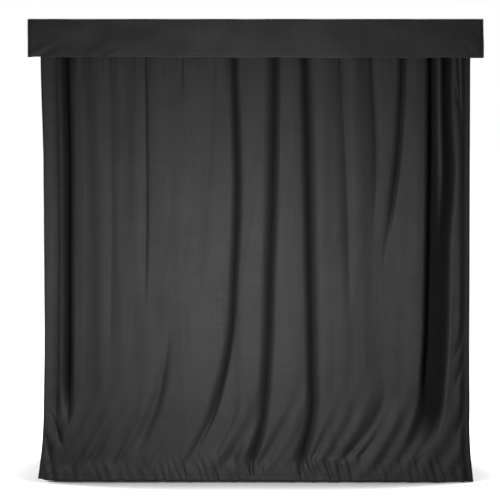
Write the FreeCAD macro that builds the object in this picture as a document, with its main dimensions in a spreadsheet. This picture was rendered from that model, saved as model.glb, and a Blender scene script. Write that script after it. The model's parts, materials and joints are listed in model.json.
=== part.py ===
# A curtained photo booth: a floor panel, a tube frame, drapes on all four sides, a valance and a
# roof cloth round the top, and inside them the photo machine and a height-adjustable stool.
#
# +X is the sitter's end, -X the machine's end, -Y the front with the sliding curtain, +Z up.
# The origin is the middle of the footprint, on the ground. All sizes are in millimetres.

import FreeCAD, Part
import math
import os

import Sketcher
from FreeCAD import Rotation, Vector

doc = FreeCAD.newDocument("photo_booth")
sheet = doc.addObject("Spreadsheet::Sheet", "Dims")
aliases = []
nodes = []


# ---------------------------------------------------------------- sizes and their expressions


class Size:
    """A length that knows its number and its expression in the sheet, so that arithmetic keeps both."""

    def __init__(self, number, text=None):
        self.number = number
        self.text = text if text is not None else repr(number)

    def __add__(self, other):
        other = size(other)
        return Size(self.number + other.number, f"({self.text} + {other.text})")

    def __sub__(self, other):
        other = size(other)
        return Size(self.number - other.number, f"({self.text} - {other.text})")

    def __mul__(self, other):
        other = size(other)
        return Size(self.number * other.number, f"({self.text} * {other.text})")

    def __truediv__(self, other):
        other = size(other)
        return Size(self.number / other.number, f"({self.text} / {other.text})")

    def __neg__(self):
        return Size(-self.number, f"(0 - {self.text})")

    def __radd__(self, other):
        return size(other) + self

    def __rsub__(self, other):
        return size(other) - self

    def __rmul__(self, other):
        return size(other) * self


def size(value):
    return value if isinstance(value, Size) else Size(value)


def dim(alias, number):
    """Puts one driving dimension in the sheet, under its alias, and reads it back."""
    aliases.append(alias)
    row = len(aliases)
    sheet.set(f"A{row}", alias)
    sheet.set(f"B{row}", str(number))
    sheet.setAlias(f"B{row}", alias)
    doc.recompute()
    return Size(float(sheet.get(alias)), f"Dims.{alias}")


# the envelope
valance_wide = dim("valance_wide", 2050)
valance_deep = dim("valance_deep", 1340)
booth_tall = dim("booth_tall", 2100)
valance_drop = dim("valance_drop", 172)
overhang = dim("overhang", 52)
cloth_plate = dim("cloth_plate", 4)
# the drapes
fold_deep = dim("fold_deep", 40)
cloth_thick = dim("cloth_thick", 1.2)
tape_thick = dim("tape_thick", 4)
hem_gap = dim("hem_gap", 8)
drape_top_drop = dim("drape_top_drop", 16)
pleat_pitch = dim("pleat_pitch", 96)
# the frame
tube_side = dim("tube_side", 40)
tube_wall = dim("tube_wall", 2.5)
spigot_gap = dim("spigot_gap", 0.5)
spigot_long = dim("spigot_long", 60)
flange_thick = dim("flange_thick", 4)
valance_tube = dim("valance_tube", 20)
bracket_wide = dim("bracket_wide", 30)
bracket_thick = dim("bracket_thick", 6)
# the floor
foot_tall = dim("foot_tall", 12)
foot_round = dim("foot_round", 25)
panel_thick = dim("panel_thick", 18)
mat_thick = dim("mat_thick", 3)
anchor_x = dim("anchor_x", 760)
anchor_y = dim("anchor_y", 440)
anchor_hole = dim("anchor_hole", 5.5)
# the curtain's rod and leading edge
rod_round = dim("rod_round", 12.5)
rod_wall = dim("rod_wall", 1.5)
rod_drop = dim("rod_drop", 60)
running_gap = dim("running_gap", 0.1)
pocket_gap = dim("pocket_gap", 1)
pocket_wall = dim("pocket_wall", 3)
batten_wide = dim("batten_wide", 26)
# the machine's cabinet
kiosk_deep = dim("kiosk_deep", 400)
kiosk_wide = dim("kiosk_wide", 480)
kiosk_tall = dim("kiosk_tall", 1530)
kiosk_wall = dim("kiosk_wall", 12)
fascia_thick = dim("fascia_thick", 8)
bezel_thick = dim("bezel_thick", 6)
lens_level = dim("lens_level", 1300)
screen_level = dim("screen_level", 1090)
button_level = dim("button_level", 945)
button_travel = dim("button_travel", 4)
coin_level = dim("coin_level", 640)
chute_level = dim("chute_level", 680)
shelf_level = dim("shelf_level", 800)
door_wide = dim("door_wide", 280)
door_thick = dim("door_thick", 16)
# the stool
stool_x = dim("stool_x", 500)
stool_plate = dim("stool_plate", 190)
column_tall = dim("column_tall", 340)
column_round = dim("column_round", 30)
piston_round = dim("piston_round", 14)
seat_round = dim("seat_round", 175)
seat_thick = dim("seat_thick", 60)

# places that follow from them
frame_x = valance_wide / 2 - overhang - fold_deep - tape_thick
frame_y = valance_deep / 2 - overhang - fold_deep - tape_thick
drape_x = frame_x + tape_thick
drape_y = frame_y + tape_thick
ground = size(0)
floor_top = foot_tall + panel_thick
mat_top = floor_top + mat_thick
roof_under = booth_tall - cloth_plate
rail_under = roof_under - tube_side
drape_top = booth_tall - drape_top_drop
upright_foot = floor_top + flange_thick
rod_level = booth_tall - rod_drop
rod_y = -(drape_y + fold_deep / 2)
curtain_left = -(drape_x + fold_deep)
curtain_right = drape_x + fold_deep
batten_left = curtain_right - batten_wide


# ---------------------------------------------------------------- how pieces are made


def bind(thing, **sizes):
    for name, value in sizes.items():
        thing.setExpression(name, size(value).text)


def place(thing, x=0, y=0, z=0, turn=None):
    """Sets where an object is, bound to the sheet, and which way it is turned."""
    if turn is not None:
        thing.Placement = FreeCAD.Placement(Vector(), turn)
    for axis, value in zip("xyz", (x, y, z)):
        thing.setExpression(f".Placement.Base.{axis}", size(value).text)
    return thing


def keep(thing, label):
    """Marks an object as a sub-part: its label names its file."""
    thing.Label = label
    nodes.append(thing)
    return thing


def block(x, y, z):
    """A block between two places along each axis, each given as (low, high)."""
    made = doc.addObject("Part::Box", "block")
    (x0, x1), (y0, y1), (z0, z1) = ((size(a), size(b)) for a, b in (x, y, z))
    bind(made, Length=x1 - x0, Width=y1 - y0, Height=z1 - z0)
    return place(made, x0, y0, z0)


TURNS = {
    "x": Rotation(Vector(0, 1, 0), 90),
    "y": Rotation(Vector(1, 0, 0), -90),
    "z": Rotation(),
}


def rod(axis, radius, along, x=0, y=0, z=0):
    """A round bar along one axis, from along[0] to along[1]; the other two places are its centre."""
    made = doc.addObject("Part::Cylinder", "rod")
    start, end = size(along[0]), size(along[1])
    bind(made, Radius=radius, Height=end - start)
    spot = {"x": x, "y": y, "z": z, axis: start}
    return place(made, spot["x"], spot["y"], spot["z"], TURNS[axis])


def join(*things):
    made = doc.addObject("Part::MultiFuse", "join")
    made.Shapes = list(things)
    made.Refine = True
    return made


def cut(base, *tools):
    made = doc.addObject("Part::Cut", "cut")
    made.Base = base
    made.Tool = tools[0] if len(tools) == 1 else join(*tools)
    return made


def group(*things):
    """Separate identical solids that share one node."""
    made = doc.addObject("Part::Compound", "group")
    made.Links = list(things)
    return made


def tube(x, y, z, along):
    """A square tube: a block with a hollow through it along one axis."""
    spans = {"x": x, "y": y, "z": z}
    hollow = {
        axis: (low, high) if axis == along else (low + tube_wall, high - tube_wall)
        for axis, (low, high) in spans.items()
    }
    return cut(block(**spans), block(**hollow))


def new_body(label):
    made = doc.addObject("PartDesign::Body", label)
    return keep(made, label)


def new_sketch(body, plane):
    made = body.newObject("Sketcher::SketchObject", "outline")
    origin = next(f for f in body.Origin.OriginFeatures if f.Role == plane)
    made.AttachmentSupport = [(origin, "")]
    made.MapMode = "FlatFace"
    return made


def pin(sketch, kind, ends, value):
    """One size of a sketch, bound to the sheet."""
    made = sketch.addConstraint(Sketcher.Constraint(kind, *ends, size(value).number))
    sketch.setExpression(f"Constraints[{made}]", size(value).text)


def rectangle(sketch, x, y):
    """A rectangle between two places along each of the sketch's axes."""
    (x0, x1), (y0, y1) = ((size(a), size(b)) for a, b in (x, y))
    spots = [
        Vector(a.number, b.number) for a, b in ((x0, y0), (x1, y0), (x1, y1), (x0, y1))
    ]
    first = sketch.GeometryCount
    for k in range(4):
        sketch.addGeometry(Part.LineSegment(spots[k], spots[(k + 1) % 4]), False)
    for k in range(4):
        sketch.addConstraint(
            Sketcher.Constraint("Coincident", first + k, 2, first + (k + 1) % 4, 1)
        )
        lie = "Vertical" if k % 2 else "Horizontal"
        sketch.addConstraint(Sketcher.Constraint(lie, first + k))
    pin(sketch, "DistanceX", (-1, 1, first, 1), x0)
    pin(sketch, "DistanceY", (-1, 1, first, 1), y0)
    pin(sketch, "DistanceX", (-1, 1, first + 2, 1), x1)
    pin(sketch, "DistanceY", (-1, 1, first + 2, 1), y1)


def circle(sketch, x, y, radius):
    x, y, radius = size(x), size(y), size(radius)
    spot = Vector(x.number, y.number)
    made = sketch.addGeometry(Part.Circle(spot, Vector(0, 0, 1), radius.number), False)
    pin(sketch, "Radius", (made,), radius)
    pin(sketch, "DistanceX", (-1, 1, made, 3), x)
    pin(sketch, "DistanceY", (-1, 1, made, 3), y)


def outline(sketch, points):
    """A closed outline of straight edges through points that are pairs of sizes."""
    points = [(size(x), size(y)) for x, y in points]
    first, count = sketch.GeometryCount, len(points)
    spots = [Vector(x.number, y.number) for x, y in points]
    for k in range(count):
        sketch.addGeometry(Part.LineSegment(spots[k], spots[(k + 1) % count]), False)
    for k, (x, y) in enumerate(points):
        sketch.addConstraint(
            Sketcher.Constraint("Coincident", first + k, 2, first + (k + 1) % count, 1)
        )
        pin(sketch, "DistanceX", (-1, 1, first + k, 1), x)
        pin(sketch, "DistanceY", (-1, 1, first + k, 1), y)


def pad(body, sketch, length):
    made = body.newObject("PartDesign::Pad", "pad")
    made.Profile = sketch
    bind(made, Length=length)
    return made


def pocket(body, sketch):
    """Cuts the sketch's shapes right through the body."""
    made = body.newObject("PartDesign::Pocket", "pocket")
    made.Profile = sketch
    made.Type = "ThroughAll"
    made.Midplane = True
    return made


def turned(body, sketch):
    """A solid of revolution about the sketch's upright axis."""
    made = body.newObject("PartDesign::Revolution", "turned")
    made.Profile = sketch
    made.ReferenceAxis = (sketch, ["V_Axis"])
    made.Angle = 360.0
    return made


# ---------------------------------------------------------------- floor


def floor():
    """A plywood panel with four holes to bolt it down, on six rubber feet, with an anti-slip mat."""
    panel = new_body("floor_panel")
    place(panel, z=foot_tall)
    plate = new_sketch(panel, "XY_Plane")
    rectangle(plate, (-frame_x, frame_x), (-frame_y, frame_y))
    pad(panel, plate, panel_thick)
    holes = new_sketch(panel, "XY_Plane")
    for x in (-anchor_x, anchor_x):
        for y in (-anchor_y, anchor_y):
            circle(holes, x, y, anchor_hole)
    pocket(panel, holes)

    feet = [
        rod("z", foot_round, (ground, foot_tall), x, y)
        for x in (-(frame_x - 124), ground, frame_x - 124)
        for y in (-(frame_y - 94), frame_y - 94)
    ]
    keep(group(*feet), "floor_feet")

    mat_end, mat_side = frame_x - tube_side - 24, anchor_y - 40
    mat = block(
        (kiosk_front + 12, mat_end), (-mat_side, mat_side), (floor_top, mat_top)
    )
    keep(mat, "floor_mat")


# ---------------------------------------------------------------- frame


SIDES = {"left": -1, "right": 1}
ENDS = {"front": -1, "back": 1}


def span(sign, low, high):
    """The stretch from low to high, mirrored to the negative side where sign is -1."""
    return (low, high) if sign > 0 else (-high, -low)


def frame():
    """Four uprights on sockets, joined at the top by rails in three-way corner fittings."""
    inner_x, inner_y = frame_x - tube_side, frame_y - tube_side
    spigot = tube_wall + spigot_gap
    sockets, fittings = [], []
    for side, sx in SIDES.items():
        for end, sy in ENDS.items():
            x, y = span(sx, inner_x, frame_x), span(sy, inner_y, frame_y)
            keep(tube(x, y, (upright_foot, rail_under), "z"), f"upright_{end}_{side}")
            thin_x, thin_y = (
                (low + spigot, high - spigot) for low, high in (x, y)
            )
            sockets.append(
                join(
                    block(x, y, (floor_top, upright_foot)),
                    block(thin_x, thin_y, (upright_foot, upright_foot + spigot_long)),
                )
            )
            thin_z = (rail_under + spigot, roof_under - spigot)
            fittings.append(
                join(
                    block(x, y, (rail_under, roof_under)),
                    block(thin_x, thin_y, (rail_under - spigot_long, rail_under)),
                    block(span(sx, inner_x - spigot_long, inner_x), thin_y, thin_z),
                    block(thin_x, span(sy, inner_y - spigot_long, inner_y), thin_z),
                )
            )
    keep(group(*sockets), "upright_sockets")
    keep(group(*fittings), "corner_fittings")
    top = (rail_under, roof_under)
    low = (floor_top, floor_top + tube_side)
    for end, sy in ENDS.items():
        y = span(sy, inner_y, frame_y)
        keep(tube((-inner_x, inner_x), y, top, "x"), f"header_rail_{end}")
    for side, sx in SIDES.items():
        x = span(sx, inner_x, frame_x)
        keep(tube(x, (-inner_y, inner_y), top, "y"), f"header_rail_{side}")
        keep(tube(x, (-inner_y, inner_y), low, "y"), f"base_rail_{side}")
    back = span(1, inner_y, frame_y)
    keep(tube((-inner_x, inner_x), back, low, "x"), "base_rail_back")


def valance():
    """Light tubes held out from the header rails by flat arms, with a stiffened cloth band hung on them."""
    out_x, out_y = valance_wide / 2, valance_deep / 2
    rail_x, rail_y = out_x - cloth_plate, out_y - cloth_plate
    in_x, in_y = rail_x - valance_tube, rail_y - valance_tube
    level = (roof_under - valance_tube, roof_under)
    rails = [tube((-rail_x, rail_x), span(s, in_y, rail_y), level, "x") for s in (-1, 1)]
    rails += [tube(span(s, in_x, rail_x), (-in_y, in_y), level, "y") for s in (-1, 1)]
    keep(group(*rails), "valance_rails")

    arm = (roof_under - bracket_thick, roof_under)
    half = bracket_wide / 2
    arms = []
    for sign in (-1, 1):
        for other in (-1, 1):
            at_x, at_y = other * 0.65 * frame_x, other * 0.6 * frame_y
            arms.append(block((at_x - half, at_x + half), span(sign, frame_y, in_y), arm))
            arms.append(block(span(sign, frame_x, in_x), (at_y - half, at_y + half), arm))
    keep(group(*arms), "valance_brackets")

    drop = (booth_tall - valance_drop, booth_tall)
    for end, sy in ENDS.items():
        keep(block((-out_x, out_x), span(sy, rail_y, out_y), drop), f"valance_{end}")
    for side, sx in SIDES.items():
        keep(block(span(sx, rail_x, out_x), (-rail_y, rail_y), drop), f"valance_{side}")
    roof = block((-rail_x, rail_x), (-rail_y, rail_y), (roof_under, booth_tall))
    keep(roof, "roof_cloth")


# ---------------------------------------------------------------- drapes


def pleats(length, tall):
    """A pleated sheet of cloth from x = 0 to length, about y = 0, standing on z = 0.

    Each pleat is two arcs that curve opposite ways and meet on the middle line.
    """
    count = 2 * round(length.number / pleat_pitch.number)
    chord = length.number / count
    thick = cloth_thick.number / 2
    rise = fold_deep.number / 2 - thick
    radius = (chord**2 / 4 + rise**2) / (2 * rise)
    half_turn = math.asin(chord / 2 / radius)

    def face_of_cloth(offset):
        arcs = []
        for k in range(count):
            way = 1 if k % 2 == 0 else -1
            centre = Vector((k + 0.5) * chord, way * (rise - radius), 0)
            reach = radius + way * offset
            bends = (-half_turn, 0, half_turn)
            ends = [
                centre + Vector(math.sin(b) * reach, way * math.cos(b) * reach, 0)
                for b in bends
            ]
            arcs.append(Part.Arc(*ends).toShape())
        return arcs

    near, far = face_of_cloth(-thick), face_of_cloth(thick)
    caps = [
        Part.LineSegment(a.Vertexes[end].Point, b.Vertexes[end].Point).toShape()
        for end, a, b in ((0, near[0], far[0]), (-1, near[-1], far[-1]))
    ]
    wire = Part.Wire(Part.__sortEdges__([*near, caps[1], *reversed(far), caps[0]]))
    return Part.Face(wire).extrude(Vector(0, 0, tall.number))


def sheet_of_cloth(length, tall, x, y, z, turn=None):
    made = doc.addObject("Part::Feature", "pleats")
    made.Shape = pleats(length, tall)
    return place(made, x, y, z, turn)


def drapes():
    """Pleated drapes on both ends and the back, held to the frame by tapes along the top and the base."""
    tall = drape_top - hem_gap
    mid_x, mid_y = drape_x + fold_deep / 2, drape_y + fold_deep / 2
    wide = 2 * (drape_x + fold_deep)
    deep = 2 * frame_y
    back = sheet_of_cloth(wide, tall, -(drape_x + fold_deep), mid_y, hem_gap)
    keep(back, "drape_back")
    quarter = Rotation(Vector(0, 0, 1), 90)
    for side, sx in SIDES.items():
        made = sheet_of_cloth(deep, tall, sx * mid_x, -frame_y, hem_gap, quarter)
        keep(made, f"drape_{side}")

    strips = []
    for z in ((drape_top - 26, drape_top), (floor_top + 8, floor_top + 34)):
        strips.append(block((-frame_x, frame_x), (frame_y, drape_y), z))
        strips += [
            block(span(sx, frame_x, drape_x), (-frame_y, frame_y), z) for sx in (-1, 1)
        ]
    keep(group(*strips), "hook_tapes")


def curtain():
    """The entry curtain: its pocket slides on a rod, and a batten stiffens the edge that is pulled."""
    rail_in = valance_wide / 2 - cloth_plate - valance_tube
    ends = (-rail_in, rail_in)
    bar = cut(
        rod("x", rod_round, ends, y=rod_y, z=rod_level),
        rod("x", rod_round - rod_wall, ends, y=rod_y, z=rod_level),
    )
    keep(bar, "curtain_rod")

    hangers = []
    for sx in (-1, 1):
        plate = block(
            span(sx, rail_in - bracket_thick, rail_in),
            (rod_y - fold_deep / 2, rod_y + fold_deep / 2),
            (rod_level - 22, roof_under),
        )
        hole = rod(
            "x",
            rod_round + running_gap,
            span(sx, rail_in - 2 * bracket_thick, rail_in + bracket_thick),
            y=rod_y,
            z=rod_level,
        )
        hangers.append(cut(plate, hole))
    keep(group(*hangers), "rod_brackets")

    bore = rod_round + pocket_gap
    along = (curtain_left, batten_left)
    sleeve = cut(
        rod("x", bore + pocket_wall, along, y=rod_y, z=rod_level),
        rod("x", bore, along, y=rod_y, z=rod_level),
    )
    cloth_top = rod_level - bore - cloth_thick / 2
    cloth = sheet_of_cloth(
        batten_left - curtain_left, cloth_top - hem_gap, curtain_left, rod_y, hem_gap
    )
    keep(join(cloth, sleeve), "front_curtain")

    ring_round = rod_round + 5.5
    ring = rod(
        "x", ring_round, (batten_left + 2, curtain_right - 2), y=rod_y, z=rod_level
    )
    bar_top = rod_level - ring_round + 3
    blade = block(
        (batten_left + 5, curtain_right - 5), (rod_y - 4, rod_y + 4), (hem_gap + 6, bar_top)
    )
    eye = rod(
        "x", rod_round + running_gap, (batten_left, curtain_right), y=rod_y, z=rod_level
    )
    keep(cut(join(ring, blade), eye), "curtain_batten")


# ---------------------------------------------------------------- machine


kiosk_back = -(frame_x - tube_side - 4)
kiosk_front = kiosk_back + kiosk_deep
kiosk_side = kiosk_wide / 2
kiosk_top = floor_top + kiosk_tall
fascia_face = kiosk_front + fascia_thick
bezel_face = fascia_face + bezel_thick
inner_side = kiosk_side - kiosk_wall
# the door and its hinge
door_left = kiosk_back + 20
door_right = door_left + door_wide
door_low, door_high = floor_top + 50, kiosk_top - 70
hinge_x = door_left - 8
hinge_y = -(kiosk_side + 7)
hinge_spots = (door_low + 160, door_high - 220)
lock_x = door_right - 32
lock_level = shelf_level + 60
# what shows on the fascia, as (y low, y high), (z low, z high)
window = ((size(-85), size(85)), (lens_level - 55, lens_level + 55))
screen = ((size(-150), size(150)), (screen_level - 95, screen_level + 95))
coin_plate = ((size(-175), size(-65)), (coin_level, coin_level + 210))
chute_plate = ((size(10), size(180)), (chute_level, chute_level + 130))
light_level = (screen_level - 150, lens_level + 170)
light_strip = (size(172), size(216))
inlet_x = (kiosk_back + 58, kiosk_back + 102)
inlet_level = (floor_top + 70, floor_top + 130)
switch_pivot = (kiosk_side - 1, inlet_level[0] + 45)
coin_flap_x = fascia_face - 6
chute_pin = (bezel_face + 3, chute_level + 117)
SWITCH_TILT = 9  # degrees that the rocker leans in its off position
FIT = 0.5  # gap round a piece that drops into an opening
LIP = 8  # how far a pane bears on the fascia's back, past its opening
# radii of what turns or slides in a bore
FLAP_PIN = 2
HINGE_PIN = 3
TRUNNION = 4
SPINDLE = 6
KNOB = 8
LOCK = 9
LENS = 28.5
ROCKER_PIN = 1.5
BUTTONS = {"start_button": (0, 23), "left_button": (-75, 14), "right_button": (75, 14)}


def inside(plate, margin):
    (y0, y1), (z0, z1) = plate
    return (y0 + margin, y1 - margin), (z0 + margin, z1 - margin)


def cabinet():
    """The cabinet's walls, floor and shelf, open at the front and at the door, with two hinge pins."""
    shell = block((kiosk_back, kiosk_front), (-kiosk_side, kiosk_side), (floor_top, kiosk_top))
    hollow = (-inner_side, inner_side)
    within = (kiosk_back + kiosk_wall, kiosk_front + 1)
    lower = block(within, hollow, (floor_top + kiosk_wall, shelf_level - kiosk_wall))
    upper = block(within, hollow, (shelf_level, kiosk_top - kiosk_wall))
    reach = (-(kiosk_side + 1), -inner_side + 1)
    doorway = block((door_left + 15, door_right - 15), reach, (door_low + 15, door_high - 15))
    # the shelf stops short of the fascia, so that cables and prints can pass
    past_shelf = (kiosk_front - 110, kiosk_front + 1)
    shelf_gap = block(past_shelf, hollow, (shelf_level - 20, shelf_level + 5))
    inlet = block(inlet_x, (inner_side - 1, kiosk_side + 1), inlet_level)
    walls = cut(shell, lower, upper, doorway, shelf_gap, inlet)
    pins = []
    for z in hinge_spots:
        leaf = block((hinge_x - 3, hinge_x + 3), (hinge_y, -kiosk_side + 1), (z - 12, z - 1))
        pins += [leaf, rod("z", HINGE_PIN, (z - 12, z + 44), hinge_x, hinge_y)]
    keep(join(walls, *pins), "kiosk_cabinet")


def pane(behind, front, plate):
    """A pane that fills an opening in the fascia, with a lip that bears on the fascia's back."""
    return join(
        block((behind, kiosk_front), *inside(plate, -LIP)),
        block((kiosk_front - 1, front), *inside(plate, FIT)),
    )


def fascia():
    """The front plate, with an opening for each thing that shows through it."""
    body = new_body("kiosk_fascia")
    place(body, x=kiosk_front)
    face = new_sketch(body, "YZ_Plane")
    rectangle(face, (-kiosk_side, kiosk_side), (floor_top, kiosk_top))
    pad(body, face, fascia_thick)
    holes = new_sketch(body, "YZ_Plane")
    rectangle(holes, *window)
    rectangle(holes, *screen)
    rectangle(holes, *inside(coin_plate, 10))
    rectangle(holes, *inside(chute_plate, 10))
    for sign in (-1, 1):
        rectangle(holes, span(sign, *light_strip), light_level)
    for y, radius in BUTTONS.values():
        circle(holes, y, button_level, radius + FIT)
    for k in range(7):  # the speaker's slots
        slot = floor_top + 300 + 14 * k
        rectangle(holes, (-60, 60), (slot, slot + 5))
    pocket(body, holes)

    strips = [(span(sign, *light_strip), light_level) for sign in (-1, 1)]
    panes = [pane(kiosk_front - 4, fascia_face - 1, strip) for strip in strips]
    keep(group(*panes), "light_diffusers")
    keep(pane(kiosk_front - 3, kiosk_front + 3, window), "camera_window")
    panel = pane(kiosk_front - 32, fascia_face - 1, screen)
    driver = block((kiosk_front - 60, kiosk_front - 31), (-90, 90), inside(screen, 30)[1])
    keep(join(panel, driver), "display")


def buttons():
    """Three push buttons: a cap that stands proud of the fascia, on a stem behind it."""
    for label, (y, radius) in BUTTONS.items():
        body = new_body(label)
        place(body, kiosk_front - 24, y, button_level, Rotation(Vector(0, 1, 0), 90))
        half = new_sketch(body, "XZ_Plane")
        cap = fascia_thick + 24 + button_travel + 5
        outline(
            half,
            ((0, 0), (radius * 0.5, 0), (radius * 0.5, 18), (radius, 18), (radius, cap - 3),
             (radius - 3, cap), (0, cap)),
        )
        turned(body, half)


def coin_unit():
    """The coin slot's plate, with a return button and a return cup that a hanging flap closes."""
    plate_y, plate_z = coin_plate
    box_y, box_z = inside(coin_plate, 10 + FIT)
    body = join(
        block((fascia_face, bezel_face), plate_y, plate_z),
        block((kiosk_front - 90, fascia_face), box_y, box_z),
    )
    middle = (coin_plate[0][0] + coin_plate[0][1]) / 2
    knob_level = coin_level + 122
    slot_z = (coin_level + 155, coin_level + 187)
    slot = block((fascia_face - 40, bezel_face + 1), (middle - 2, middle + 2), slot_z)
    socket = rod("x", KNOB + FIT, (kiosk_front - 30, bezel_face + 1), y=middle, z=knob_level)
    cup_y, cup_z = (middle - 31, middle + 31), (coin_level + 22, coin_level + 88)
    cup = block((kiosk_front - 80, bezel_face + 1), cup_y, cup_z)
    hinge = (coin_flap_x, coin_level + 84)
    bore = rod("y", FLAP_PIN + running_gap, (middle - 36, middle + 36), x=hinge[0], z=hinge[1])
    keep(cut(body, slot, socket, cup, bore), "coin_unit")

    knob = join(
        rod("x", KNOB, (fascia_face - 14, bezel_face + 6), y=middle, z=knob_level),
        rod("x", KNOB / 2, (kiosk_front - 20, fascia_face - 14), y=middle, z=knob_level),
    )
    keep(knob, "coin_return_button")
    leaf_y = (middle - 29.5, middle + 29.5)
    flap = join(
        rod("y", FLAP_PIN, (middle - 35, middle + 35), x=hinge[0], z=hinge[1]),
        block((hinge[0] - 1, hinge[0] + 1), leaf_y, (coin_level + 24, hinge[1])),
    )
    keep(flap, "coin_flap")


def print_chute():
    """The tray that prints drop into, behind a clear flap on a pin between two lugs."""
    plate_y, plate_z = chute_plate
    box_y, box_z = inside(chute_plate, 10 + FIT)
    mouth_y, mouth_z = inside(chute_plate, 22)
    pin_x, pin_z = chute_pin
    lugs = [
        block((bezel_face, pin_x + 4), (y, y + 7), (pin_z - 4, pin_z + 4))
        for y in (plate_y[0] + 3, plate_y[1] - 10)
    ]
    body = join(
        block((fascia_face, bezel_face), plate_y, plate_z),
        block((kiosk_front - 105, fascia_face), box_y, box_z),
        *lugs,
    )
    mouth = block((kiosk_front - 95, bezel_face + 1), mouth_y, mouth_z)
    drop_z = (chute_level + 60, chute_level + 131)
    drop = block((kiosk_front - 95, kiosk_front - 55), mouth_y, drop_z)
    bore = rod("y", FLAP_PIN + running_gap, (plate_y[0] + 1, plate_y[1] - 1), x=pin_x, z=pin_z)
    keep(cut(body, mouth, drop, bore), "print_chute")
    leaf_y = (plate_y[0] + 12, plate_y[1] - 12)
    flap = join(
        rod("y", FLAP_PIN, (plate_y[0] + 4, plate_y[1] - 4), x=pin_x, z=pin_z),
        block((pin_x - 1.5, pin_x + 1.5), leaf_y, (chute_level + 16, pin_z)),
    )
    keep(flap, "print_flap")


def camera():
    """The camera tilts on two trunnions between the cheeks of a cross-plate."""
    x, z = kiosk_front - 112, lens_level
    plate = block((x - 50, x + 40), (-inner_side, inner_side), (z - 60, z - 54))
    cheek_z = (z - 55, z + 15)
    cheeks = [block((x - 15, x + 15), span(s, size(52), size(58)), cheek_z) for s in (-1, 1)]
    bores = rod("y", TRUNNION + running_gap, (-60, 60), x=x, z=z)
    keep(cut(join(plate, *cheeks), bores), "camera_bracket")
    body = join(
        block((x - 30, x + 30), (-46, 46), (z - 36, z + 36)),
        rod("x", 33, (x + 30, x + 78), y=0, z=z),
        rod("x", 36, (x + 78, x + 92), y=0, z=z),
        rod("y", TRUNNION, (-58, 58), x=x, z=z),
    )
    lens_well = rod("x", LENS + FIT, (x + 86, x + 93), y=0, z=z)
    keep(cut(body, lens_well), "camera")
    keep(rod("x", LENS, (x + 86, x + 90), y=0, z=z), "camera_lens")


def printer():
    """The printer stands on the shelf; its paper roll turns on a spindle between two cheeks."""
    x, y, z = kiosk_front - 205, size(95), shelf_level
    roll, width, cheek = 55, 54, 6
    outer = width + 1 + cheek
    base = block((x - 80, x + 80), (y - outer, y + outer), (z, z + 60))
    cheeks = [
        block((x - 30, x + 30), (y + low, y + low + cheek), (z + 59, z + 150))
        for low in (-outer, width + 1)
    ]
    axle = (x, z + 72 + roll)
    bores = rod("y", SPINDLE + running_gap, (y - 70, y + 70), x=axle[0], z=axle[1])
    keep(cut(join(base, *cheeks), bores), "printer")
    core = join(
        rod("y", roll, (y - width, y + width), x=axle[0], z=axle[1]),
        rod("y", SPINDLE, (y - outer, y + outer), x=axle[0], z=axle[1]),
    )
    keep(core, "paper_roll")


def service_door():
    """The door on the cabinet's side, with two hinge barrels and a cam lock."""
    y = (-(kiosk_side + door_thick), -kiosk_side - 0.5)
    panel = block((door_left, door_right), y, (door_low, door_high))
    barrels, bores = [], []
    for z in hinge_spots:
        barrels.append(rod("z", 2 * HINGE_PIN, (z, z + 44), hinge_x, hinge_y))
        barrels.append(block((hinge_x, door_left + 2), (hinge_y - 6, hinge_y - 1), (z, z + 44)))
        bores.append(rod("z", HINGE_PIN + running_gap, (z - 1, z + 45), hinge_x, hinge_y))
    keyway = rod("y", LOCK + running_gap, (y[0] - 1, y[1] + 1), x=lock_x, z=lock_level)
    keep(cut(join(panel, *barrels), *bores, keyway), "service_door")
    barrel_end = -inner_side + 2
    cam_z = (lock_level - 42, lock_level + LOCK)
    lock = join(
        rod("y", LOCK, (y[0] - 2, barrel_end), x=lock_x, z=lock_level),
        rod("y", LOCK + 3, (y[0] - 5, y[0]), x=lock_x, z=lock_level),
        block((lock_x - 7, lock_x + 7), (barrel_end, barrel_end + 3), cam_z),
    )
    key_z = (lock_level - 4, lock_level + 4)
    keyhole = block((lock_x - 1, lock_x + 1), (y[0] - 6, y[0] - 1), key_z)
    keep(cut(lock, keyhole), "door_lock")


def electrics():
    """The computer on the cabinet's floor, and the mains inlet with its rocker switch in the side wall."""
    low = floor_top + kiosk_wall
    keep(block((kiosk_back + 60, kiosk_back + 280), (-100, 80), (low, low + 90)), "computer_unit")

    x0, x1 = inlet_x
    z0, z1 = inlet_level
    flange = block((x0 - 5, x1 + 5), (kiosk_side, kiosk_side + 2), (z0 - 5, z1 + 5))
    case = block((x0 + FIT, x1 - FIT), (kiosk_side - 30, kiosk_side), (z0 + FIT, z1 - FIT))
    socket = block((x0 + 8, x1 - 8), (kiosk_side - 16, kiosk_side + 3), (z0 + 6, z0 + 26))
    pins = [
        block((x0 + 21 + dx, x0 + 23 + dx), (kiosk_side - 17, kiosk_side - 2), (z0 + 14, z0 + 20))
        for dx in (-7, 0, 7)
    ]
    well = block((x0 + 14, x1 - 14), (kiosk_side - 12, kiosk_side + 3), (z0 + 33, z1 - 3))
    pivot_y, pivot_z = switch_pivot
    bore = rod("x", ROCKER_PIN + running_gap, (x0 + 11, x1 - 11), y=pivot_y, z=pivot_z)
    keep(join(cut(join(flange, case), socket, well, bore), *pins), "power_inlet")

    pivot = rod("x", ROCKER_PIN, (x0 + 12, x1 - 12), y=pivot_y, z=pivot_z)
    rocker_x, under, half_tall = (x0 + 14.5, x1 - 14.5), 2, 9.5
    rocker_z = (pivot_z - half_tall, pivot_z + half_tall)
    rocker = block(rocker_x, (pivot_y - under, pivot_y + 4), rocker_z)
    tilt = Rotation(Vector(1, 0, 0), SWITCH_TILT)
    corner = tilt.multVec(Vector(0, -under, -half_tall))
    place(rocker, rocker_x[0], pivot_y + corner.y, pivot_z + corner.z, tilt)
    keep(join(pivot, rocker), "power_switch")


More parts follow.
